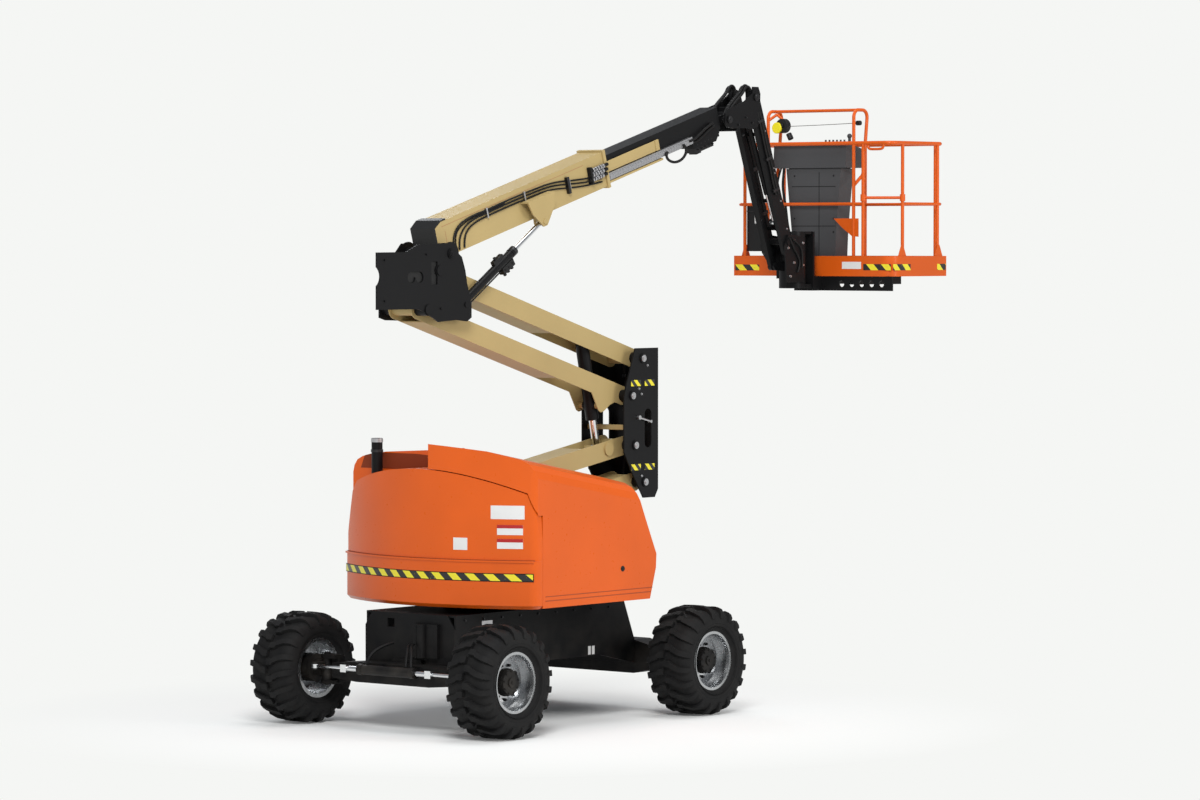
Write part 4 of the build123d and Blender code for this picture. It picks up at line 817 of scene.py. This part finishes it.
# hoses clamped along the near wall, looping down behind the pivot
boom_runs = (
    ("boom_hose_top", 0.0068,
     ((0.150, -0.020), (0.152, 0.030), (0.165, 0.085), (0.235, 0.150), (0.380, 0.176), (0.577, 0.172),
      (0.800, 0.176), (1.046, 0.174), (1.320, 0.168), (1.480, 0.146), (1.600, 0.118), (1.800, 0.080),
      (1.960, 0.062))),
    ("boom_hose_middle", 0.0068,
     ((0.205, -0.030), (0.215, 0.025), (0.245, 0.075), (0.310, 0.122), (0.420, 0.148), (0.577, 0.149),
      (0.800, 0.153), (1.046, 0.152), (1.320, 0.146), (1.480, 0.120), (1.600, 0.092), (1.800, 0.052),
      (1.960, 0.036))),
    ("boom_hose_low", 0.0068,
     ((0.262, -0.030), (0.275, 0.020), (0.305, 0.070), (0.365, 0.104), (0.460, 0.122), (0.577, 0.126),
      (0.800, 0.129), (1.046, 0.1285), (1.320, 0.122), (1.480, 0.090), (1.600, 0.062), (1.800, 0.026),
      (1.960, 0.010))),
    ("boom_hose_return", 0.0050,
     ((0.172, -0.010), (0.178, 0.040), (0.200, 0.100), (0.270, 0.138), (0.400, 0.162), (0.577, 0.160),
      (0.800, 0.165))),
)
for name, radius, run in boom_runs:
    hose(name, [on_boom(s, t, NEAR_WALL - radius - 0.001) for s, t in run], radius, "main_boom")
bm = bmesh.new()
for s, t in ((0.577, 0.148), (1.030, 0.148), (1.570, 0.095)):
    boom_box(bm, s - 0.007, s + 0.007, t - 0.036, t + 0.042, NEAR_WALL - 0.019, NEAR_WALL)
    add_nut(bm, on_boom(s, t + 0.034, NEAR_WALL - 0.019), (0, -1, 0), 0.007, 0.006)
piece("boom_hose_clamps", bm, "steel", "main_boom", bevel=0.0015)
bm = bmesh.new()
boom_box(bm, 1.535, 1.560, 0.030, 0.160, NEAR_WALL - 0.030, NEAR_WALL)
piece("boom_hose_bracket", bm, "dark_steel", "main_boom", bevel=0.002)

# where the hoses enter the carrier: three hoses, each with five ring clamps
ENTRY_T = (0.060, 0.094, 0.128)
ENTRY_Y = NEAR_WALL - 0.020
STAGGER = 0.012
bundle = bmesh.new()
for k in range(5):
    for j, t in enumerate(ENTRY_T):
        centre = on_boom(1.840 + 0.030 * k + STAGGER * j, t, ENTRY_Y)
        add_bar(bundle, centre - BOOM_DIR * 0.009, centre + BOOM_DIR * 0.009, 0.019, 18)
piece("carrier_entry_rings", bundle, "steel", "main_boom", bevel=0.0015)
bundle = bmesh.new()
for j, t in enumerate(ENTRY_T):
    shift = STAGGER * j
    add_bar(bundle, on_boom(1.800 + shift, t, ENTRY_Y), on_boom(2.020 + shift, t, ENTRY_Y), 0.0135, 18)
boom_box(bundle, 1.815, 1.835, 0.030, 0.160, NEAR_WALL - 0.038, NEAR_WALL)
piece("carrier_entry_hoses", bundle, "hose_rubber", "main_boom")

# ---------------------------------------- fly and hose carrier
bm = bmesh.new()
boom_box(bm, 2.062, 2.745, 0.054, 0.138, -0.0985, -0.0925)
boom_box(bm, 2.030, 2.750, -0.030, -0.014, -0.1160, -0.0880)
boom_box(bm, 2.700, 2.745, 0.054, 0.138, -0.1050, -0.0985)
piece("carrier_guard", bm, "tan_paint", "main_boom", bevel=0.0015)
link = bmesh.new()
boom_box(link, 2.072, 2.098, 0.002, 0.040, -0.1200, -0.1155)
boom_box(link, 2.078, 2.108, 0.012, 0.030, -0.1215, -0.1155)
chain = repeated(link, 32, step=tuple(BOOM_DIR * 0.033))
piece("carrier_links", chain, "steel", "fly_boom", smooth=False)
fly_runs = (
    ("carrier_loop_hose", 0.011, ((2.800, 0.020, -0.128), (2.775, 0.000, -0.128), (2.790, -0.045, -0.128),
                                  (2.860, -0.085, -0.128), (2.950, -0.090, -0.128), (3.020, -0.060, -0.128),
                                  (3.040, -0.015, -0.128), (3.015, 0.020, -0.128))),
    ("carrier_exit_hose", 0.010, ((3.100, 0.025, -0.125), (3.170, 0.020, -0.118), (3.260, 0.040, -0.110),
                                  (3.360, 0.070, -0.108), (3.450, 0.080, -0.104))),
    ("carrier_exit_hose_two", 0.010, ((3.120, 0.010, -0.102), (3.200, -0.012, -0.098), (3.300, 0.012, -0.098),
                                      (3.400, 0.044, -0.098), (3.470, 0.052, -0.096))),
)
for name, radius, run in fly_runs:
    hose(name, [on_boom(s, t, y) for s, t, y in run], radius, "fly_boom")
bm = bmesh.new()
boom_box(bm, 3.215, 3.450, -0.105, 0.000, -0.075, 0.030)
boom_box(bm, 3.235, 3.300, -0.120, -0.105, -0.060, 0.015)
for s in (3.240, 3.290, 3.340, 3.390, 3.430):
    add_nut(bm, on_boom(s, -0.040, -0.075), (0, -1, 0), 0.012, 0.010)
    add_nut(bm, on_boom(s, -0.080, -0.075), (0, -1, 0), 0.010, 0.018)
piece("fly_valve_block", bm, "black_plastic", "fly_boom", bevel=0.003)

# ---------------------------------------- head and jib
HEAD = Vector((2.660, 0.0, 4.585))
JIB_AT = at("jib_lift")
JIB_DIR, JIB_UP = heading(-69.4)


def on_jib(s, t, y):
    """Point along the jib, square to it, and across."""
    return JIB_AT + JIB_DIR * s + JIB_UP * t + Vector((0, y, 0))


def jib_box(bm, s, half, t0, t1, y, depth):
    """Block centred along the jib, from y on by its depth."""
    corners = ((s - half, t0), (s + half, t0), (s + half, t1), (s - half, t1))
    add_prism(bm, [on_jib(a, b, y) for a, b in corners], (0, depth, 0))
for k, y in enumerate((-0.098, -0.076, -0.054, 0.060, 0.082)):
    lift = 0.010 * (k % 2)
    hose("head_hose_%d" % k, [HEAD + Vector(p) for p in
                              ((-0.020, y, -0.020 + lift), (0.040, y, 0.080 + lift), (0.120, y, 0.150 + lift),
                               (0.215, y, 0.215 + lift), (0.250, y, 0.275 + lift), (0.310, y, 0.262 + lift),
                               (0.325, y, 0.180), (0.300, y, 0.070), (0.262, y, -0.050))], 0.0105, "jib_head")
bm = bmesh.new()
for side in (-1, 1):
    for x, z in ((0.0, 0.0), (0.350, 0.185)):
        pin_cap(bm, HEAD.x + x, HEAD.z + z, side * 0.131, side, 0.030)
    for x, z in ((0.120, -0.040), (0.220, 0.020), (0.180, -0.120), (0.300, -0.020)):
        add_nut(bm, HEAD + Vector((x, side * 0.124, z)), (0, side, 0), 0.014, 0.011)
piece("head_pin_caps", bm, "dark_steel", "jib_head")
bm = bmesh.new()
add_box(bm, (2.790, -0.110, 4.560), (2.860, 0.110, 4.690))
add_box(bm, (2.720, -0.090, 4.600), (2.790, 0.090, 4.650))
piece("head_valve_block", bm, "black_plastic", "jib_head", bevel=0.004)

for k, (y, t, r) in enumerate(((-0.064, 0.018, 0.0095), (-0.064, -0.006, 0.0095), (-0.064, 0.042, 0.008),
                               (0.0688, 0.020, 0.0070), (0.0688, -0.004, 0.0070))):
    hose("jib_hose_%d" % k, [on_jib(s, t + wave, y) for s, wave in
                             ((0.090, 0.000), (0.200, 0.004), (0.350, -0.004), (0.520, 0.006), (0.700, 0.000),
                              (0.880, 0.004), (1.020, -0.004), (1.120, 0.000))], r, "jib")
for k, t in enumerate((-0.020, 0.008)):
    hose("jib_outer_hose_%d" % k, [on_jib(s, t + wave, -0.119) for s, wave in
                                   ((0.120, 0.000), (0.260, 0.006), (0.420, -0.004), (0.580, 0.006),
                                    (0.720, -0.003), (0.830, 0.004))], 0.009, "jib")
bm = bmesh.new()
for s in (0.200, 0.520, 0.790):
    jib_box(bm, s, 0.012, -0.042, 0.030, -0.130, 0.024)
piece("jib_outer_clamps", bm, "dark_steel", "jib", bevel=0.002)
bm = bmesh.new()
for s in (0.180, 0.620, 1.000):
    jib_box(bm, s, 0.015, -0.030, 0.060, -0.076, 0.024)
    jib_box(bm, s, 0.015, -0.030, 0.060, 0.061, 0.015)
piece("jib_hose_clamps", bm, "dark_steel", "jib", bevel=0.002)
bm = bmesh.new()
for side in (-1, 1):
    for s, t in ((0.30, 0.035), (0.62, 0.036), (0.66, 0.036), (0.90, 0.035), (1.14, 0.035)):
        add_nut(bm, on_jib(s, t, side * 0.108), (0, side, 0), 0.011, 0.009)
piece("jib_bolts", bm, "steel", "jib")

# ---------------------------------------- foot and platform support
bm = bmesh.new()
for x, z in ((3.440, 3.560), (3.520, 3.620), (3.640, 3.600), (3.520, 3.440), (3.640, 3.420), (3.470, 3.330)):
    add_nut(bm, (x, -0.124, z), (0, -1, 0), 0.015, 0.012)
piece("foot_bolts", bm, "steel", "jib_foot")
foot_runs = {
    "foot_hose_one": ((3.450, 3.640), (3.500, 3.560), (3.560, 3.500), (3.600, 3.430), (3.560, 3.360)),
    "foot_hose_two": ((3.480, 3.640), (3.550, 3.600), (3.610, 3.560), (3.625, 3.480), (3.620, 3.400)),
}
for name, run in foot_runs.items():
    hose(name, [(x, -0.134, z) for x, z in run], 0.008, "jib_foot")

# ---------------------------------------- platform
floor_low, floor_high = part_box("platform_floor")
X0, X1 = floor_low[0], floor_high[0]
Y1 = floor_high[1]
bm = bmesh.new()
face_plate(bm, "x", X0, 0.545, 0.795, 3.372, 3.420, -SHEET)
face_plate(bm, "x", X0, -0.795, -0.520, 3.378, 3.428, -SHEET)
piece("toe_stripes_inner", bm, "toe_hazard_y", "platform", smooth=False)
bm = bmesh.new()
for y, x0, x1 in ((-Y1, X0 + 0.012, X0 + 0.255), (-Y1, X1 - 0.130, X1 - 0.010),
                  (Y1, X0 + 0.012, X0 + 0.255), (Y1, X1 - 0.255, X1 - 0.012)):
    face_plate(bm, "y", y, x0, x1, 3.378, 3.428, math.copysign(SHEET, y))
piece("toe_stripes_side", bm, "toe_hazard_x", "platform", smooth=False)
bm = bmesh.new()
face_plate(bm, "x", X0, -0.497, -0.305, 3.388, 3.446, -SHEET)
piece("toe_blank_plate", bm, "label_white", "platform", smooth=False)

# raised tread on the floor
TREAD_Z = 3.3515
lozenge = bmesh.new()
add_prism(lozenge, [(X0 + dx, -Y1 + dy, TREAD_Z) for dx, dy in
                    ((0.030, 0.030), (0.046, 0.040), (0.062, 0.030), (0.046, 0.020))], (0, 0, 0.0025))
row = repeated(lozenge, 15, step=(0.046, 0.0, 0.0))
tread = repeated(row, 39, step=(0.0, 0.040, 0.0))
piece("floor_tread", tread, "platform_orange", "platform", smooth=False)

# cable reel and line under the guard hoop
bm = bmesh.new()
add_bar(bm, (3.985, 0.355, 4.565), (4.035, 0.355, 4.565), 0.060, 28)
add_bar(bm, (3.975, 0.355, 4.565), (4.045, 0.355, 4.565), 0.022, 20)
add_bar(bm, (4.010, -0.395, 4.578), (4.010, -0.435, 4.578), 0.020, 16)
add_bar(bm, (4.010, 0.300, 4.500), (4.010, 0.275, 4.455), 0.024, 16)
piece("hoop_reel", bm, "black_plastic", "platform", bevel=0.002)
bm = bmesh.new()
add_bar(bm, (3.962, 0.392, 4.548), (3.984, 0.392, 4.548), 0.046, 24)
piece("hoop_reel_cover", bm, "yellow", "platform", bevel=0.004)
LINE_X = 4.010
hose("hoop_line", [(LINE_X, y, z) for y, z in
                   ((0.330, 4.560), (0.100, 4.564), (-0.150, 4.570), (-0.400, 4.578))],
     0.0028, "platform", "steel_wire")
bm = bmesh.new()
add_bar(bm, (3.960, 0.470, 4.610), (LINE_X, 0.420, 4.660), 0.012, 12)
add_bar(bm, (LINE_X, 0.420, 4.660), (LINE_X, 0.360, 4.615), 0.012, 12)
piece("hoop_reel_arm", bm, "platform_orange", "platform")

# grab handle by the entry, and the gussets
HANDLE = ((-0.545, 4.420), (-0.547, 4.385), (-0.560, 4.364), (-0.600, 4.362), (-0.660, 4.362),
          (-0.692, 4.366), (-0.704, 4.385), (-0.706, 4.420))
hose("entry_grab_handle", [(3.957, y, z) for y, z in HANDLE], 0.011, "platform", "platform_orange")
bm = bmesh.new()
corner_plate = ((-0.205, 3.800), (-0.455, 3.800), (-0.455, 3.650), (-0.390, 3.655), (-0.290, 3.725))
add_prism(bm, [(3.952, y, z) for y, z in corner_plate], (0.006, 0, 0))
for y0 in (-Y1 + 0.006, Y1 - 0.012):
    for x in (X0 + 0.150, X1 - 0.100):
        gusset = ((-0.055, 3.493), (0.055, 3.493), (0.012, 3.585), (-0.012, 3.585))
        add_prism(bm, [(x + dx, y0, z) for dx, z in gusset], (0, 0.006, 0))
piece("rail_gussets", bm, "platform_orange", "platform", bevel=0.001)

# console: seams, screws and two cables down its side
FRONT = 4.006
bm = bmesh.new()
for z in (3.735, 4.060):
    face_plate(bm, "x", FRONT, -0.185, 0.262, z, z + 0.006, -SHEET)
face_plate(bm, "x", FRONT, -0.020, -0.014, 3.400, 4.180, -SHEET)
piece("console_seams", bm, "dark_line", "platform", smooth=False)
bm = bmesh.new()
for z in (3.450, 3.690, 3.800, 4.150):
    for y in (-0.165, 0.235):
        add_nut(bm, (FRONT, y, z), (-1, 0, 0), 0.010, 0.007)
piece("console_screws", bm, "dark_steel", "platform")
cables = (
    ("console_cable", 0.011, ((3.990, 0.330, 4.215), (3.985, 0.335, 4.150), (3.968, 0.330, 4.050),
                              (3.972, 0.300, 3.900), (3.965, 0.270, 3.700), (3.950, 0.180, 3.560),
                              (3.925, 0.110, 3.500), (3.900, 0.060, 3.470))),
    ("console_cable_two", 0.008, ((3.990, 0.360, 4.215), (3.975, 0.385, 4.130), (3.960, 0.380, 4.000),
                                  (3.962, 0.340, 3.850), (3.955, 0.290, 3.660), (3.940, 0.200, 3.520),
                                  (3.920, 0.120, 3.470), (3.900, 0.080, 3.450))),
)
for name, radius, run in cables:
    hose(name, run, radius, "platform")
BOX_FACE = 3.969  # near face of the document box
bm = bmesh.new()
face_plate(bm, "x", BOX_FACE, 0.560, 0.620, 3.760, 3.830, -SHEET)
piece("document_box_plate", bm, "label_white", "platform", smooth=False)
bm = bmesh.new()
add_bar(bm, (BOX_FACE, 0.610, 3.900), (3.960, 0.610, 3.900), 0.014, 16)
add_box(bm, (3.963, 0.522, 3.858), (BOX_FACE, 0.698, 3.866))
piece("document_box_latch", bm, "dark_steel", "platform")

# ---------------------------------------- chassis
SIDE_Y = 0.440  # the chassis' side walls
bm = bmesh.new()
face_plate(bm, "y", -SIDE_Y, 0.500, 0.532, 0.470, 0.535, -SHEET)
face_plate(bm, "y", -SIDE_Y, 0.545, 0.577, 0.470, 0.535, -SHEET)
piece("chassis_blank_plates", bm, "label_white", "chassis", smooth=False)
bm = bmesh.new()
face_plate(bm, "y", -SIDE_Y, -0.740, -0.620, 0.755, 0.805, -SHEET)
piece("chassis_data_plate", bm, "steel", "chassis", smooth=False)
for name, side in (("chassis_side_bolts", -1), ("chassis_side_bolts_far", 1)):
    seed = bolt_seed((-0.930, side * SIDE_Y, 0.820), (0, side, 0), 0.013, 0.011)
    piece(name, repeated(seed, 9, step=(0.210, 0.0, 0.0)), "dark_steel", "chassis")
for k, y in enumerate((-0.210, -0.165, 0.190)):
    hose("steering_hose_%d" % k, [(x, y * spread, z) for x, spread, z in
                                  ((-1.125, 0.5, 0.640), (-1.180, 0.6, 0.630), (-1.240, 0.9, 0.590),
                                   (-1.285, 1.05, 0.530), (-1.295, 1.1, 0.485))], 0.011, "chassis")

# ---------------------------------------- tower
for k, y in enumerate((-0.075, -0.050, 0.075)):
    hose("tower_hose_%d" % k, [(x, y, z) for x, z in
                               ((1.545, 2.700), (1.590, 2.600), (1.596, 2.400), (1.590, 2.150),
                                (1.592, 1.950), (1.560, 1.800))], 0.011, "centre_upright")
bm = bmesh.new()
for z in (2.560, 2.300, 2.000):
    add_box(bm, (1.570, -0.095, z - 0.012), (1.606, -0.030, z + 0.012))
    add_box(bm, (1.570, 0.055, z - 0.012), (1.606, 0.095, z + 0.012))
piece("tower_hose_clamps", bm, "dark_steel", "centre_upright", bevel=0.002)

# ---------------------------------------- cylinders


def dress_cylinder(name, base, eye, y, gland_at, radius, body):
    """Gland ring, base weld ring, port blocks and the rigid pipe along a barrel."""
    a = Vector((base[0], y, base[1]))
    run = (Vector((eye[0], y, eye[1])) - a).normalized()
    up = Vector((-run.z, 0.0, run.x))
    bm = bmesh.new()
    add_bar(bm, a + run * (gland_at - 0.030), a + run * (gland_at - 0.001), radius + 0.0035, 28)
    add_bar(bm, a + run * 0.070, a + run * 0.080, radius + 0.003, 28)
    for s in (0.095, gland_at - 0.060):
        add_bar(bm, a + run * s, a + run * s - up * (radius + 0.022), 0.011, 14)
    piece(name + "_gland", bm, "dark_steel", body, bevel=0.001)
    low = -(radius + 0.016)
    hose(name + "_pipe", [a + run * s + up * (low + d) for s, d in
                          ((0.095, 0.004), (0.110, 0.0), (0.160, 0.0), (gland_at * 0.5, 0.0),
                           (gland_at - 0.120, 0.0), (gland_at - 0.072, 0.0), (gland_at - 0.060, 0.004))],
         0.006, body, "dark_steel")
CYLINDER_Y = 0.160  # the side cylinders' place beside the boom
LIFT_BASE, LIFT_EYE = (-0.651, 3.145), (0.285, 3.765)
LEVEL_BASE, LEVEL_EYE = (-0.700, 3.425), (-0.085, 3.668)
dress_cylinder("lift_cylinder", LIFT_BASE, LIFT_EYE, -CYLINDER_Y, 0.735, 0.034, "lift_cylinder_barrel")
dress_cylinder("level_cylinder", LEVEL_BASE, LEVEL_EYE, CYLINDER_Y, 0.400, 0.026, "level_cylinder_barrel")
LIFT_RUN = (Vector((LIFT_EYE[0], 0, LIFT_EYE[1])) - Vector((LIFT_BASE[0], 0, LIFT_BASE[1]))).normalized()
LIFT_UP = Vector((-LIFT_RUN.z, 0, LIFT_RUN.x))


def on_lift(s, t, y=0.0):
    """Point along the lift cylinder, square to it, and across from its middle."""
    return Vector((LIFT_BASE[0], y - CYLINDER_Y, LIFT_BASE[1])) + LIFT_RUN * s + LIFT_UP * t


def lift_box(bm, s0, s1, t0, t1, half):
    """Block on the lift cylinder, centred across it."""
    ring = [on_lift(s, t, -half) for s, t in ((s0, t0), (s1, t0), (s1, t1), (s0, t1))]
    add_prism(bm, ring, (0, 2 * half, 0))


bm = bmesh.new()
lift_box(bm, 0.470, 0.590, 0.028, 0.062, 0.018)
add_bar(bm, on_lift(0.510, 0.062), on_lift(0.510, 0.080), 0.012, 14)
lift_box(bm, 0.520, 0.665, -0.082, -0.028, 0.026)
for s in (0.545, 0.590, 0.640):
    add_bar(bm, on_lift(s, -0.082), on_lift(s, -0.104), 0.013, 14)
    add_nut(bm, on_lift(s, -0.055, -0.026), (0, -1, 0), 0.010, 0.008)
piece("lift_cylinder_valve", bm, "black_plastic", "lift_cylinder_barrel", bevel=0.003)

# ---------------------------------------- studio
CAMERA_AT = (-27.296, -23.275, 3.649)
CAMERA_DOWN, CAMERA_HEADING = 1.972, -50.741  # degrees
FOCAL_LENGTH, SENSOR_WIDTH = 142.1, 36.0  # millimetres
scene = bpy.context.scene
cam_data = bpy.data.cameras.new("camera")
cam_data.sensor_width = SENSOR_WIDTH
cam_data.lens = FOCAL_LENGTH
cam_data.clip_end = 400.0
camera = bpy.data.objects.new("camera", cam_data)
camera.location = CAMERA_AT
camera.rotation_euler = (math.radians(90.0 - CAMERA_DOWN), 0.0, math.radians(CAMERA_HEADING))
scene.collection.objects.link(camera)
scene.camera = camera
scene.view_settings.view_transform = "Standard"

PALE = (0.913, 0.922, 0.905)
world = bpy.data.worlds.new("studio")
scene.world = world
world.use_nodes = True
tree = world.node_tree
backdrop = tree.nodes["Background"]
backdrop.inputs["Color"].default_value = PALE + (1.0,)
backdrop.inputs["Strength"].default_value = 1.0
soft = tree.nodes.new("ShaderNodeBackground")
soft.inputs["Color"].default_value = (0.92, 0.95, 1.0, 1.0)
soft.inputs["Strength"].default_value = 0.36
path = tree.nodes.new("ShaderNodeLightPath")
link = tree.links.new
choose = tree.nodes.new("ShaderNodeMixShader")
link(path.outputs["Is Camera Ray"], choose.inputs[0])
link(soft.outputs[0], choose.inputs[1])
link(backdrop.outputs[0], choose.inputs[2])
link(choose.outputs[0], tree.nodes["World Output"].inputs["Surface"])

floor_look = Look("studio_floor", 0.9)
floor_look.feed("Base Color", floor_look.mix(floor_look.noise(0.4), (0.90, 0.91, 0.90), (0.93, 0.94, 0.93)))
nodes, link = floor_look.tree.nodes, floor_look.tree.links.new
glow = nodes.new("ShaderNodeEmission")
glow.inputs["Color"].default_value = PALE + (1.0,)
blend = nodes.new("ShaderNodeMixShader")
away = nodes.new("ShaderNodeVectorMath")
away.operation = "LENGTH"
link(floor_look.coords, away.inputs[0])
fade = Val(floor_look.tree, away.outputs["Value"]).ramp(1.3, 4.0)
link(fade.socket, blend.inputs[0])
link(floor_look.bsdf.outputs[0], blend.inputs[1])
link(glow.outputs[0], blend.inputs[2])
link(blend.outputs[0], nodes["Material Output"].inputs["Surface"])
MAT["floor"] = floor_look.mat
bm = bmesh.new()
add_box(bm, (-150, -150, -0.02), (150, 150, 0.0))
mesh = bpy.data.meshes.new("floor")
bm.to_mesh(mesh)
bm.free()
floor = bpy.data.objects.new("floor", mesh)
scene.collection.objects.link(floor)
mesh.materials.append(MAT["floor"])


def area_light(name, place, aim, size, power, colour=(1, 1, 1)):
    data = bpy.data.lights.new(name, "AREA")
    data.shape = "DISK"
    data.size = size
    data.energy = power
    data.color = colour
    lamp = bpy.data.objects.new(name, data)
    lamp.location = place
    lamp.rotation_euler = (Vector(aim) - Vector(place)).to_track_quat("-Z", "Y").to_euler()
    scene.collection.objects.link(lamp)


area_light("key", (-11, -9, 12), (0.5, 0, 2.2), 6.0, 1900)
area_light("top", (1, -1, 15), (0.8, 0, 1.0), 8.0, 700)
area_light("side", (4, -14, 6), (0.5, 0, 2.0), 6.0, 600, (1.0, 0.98, 0.95))
area_light("rim", (8, 11, 9), (0.5, 0, 2.5), 5.0, 260, (0.95, 0.97, 1.0))
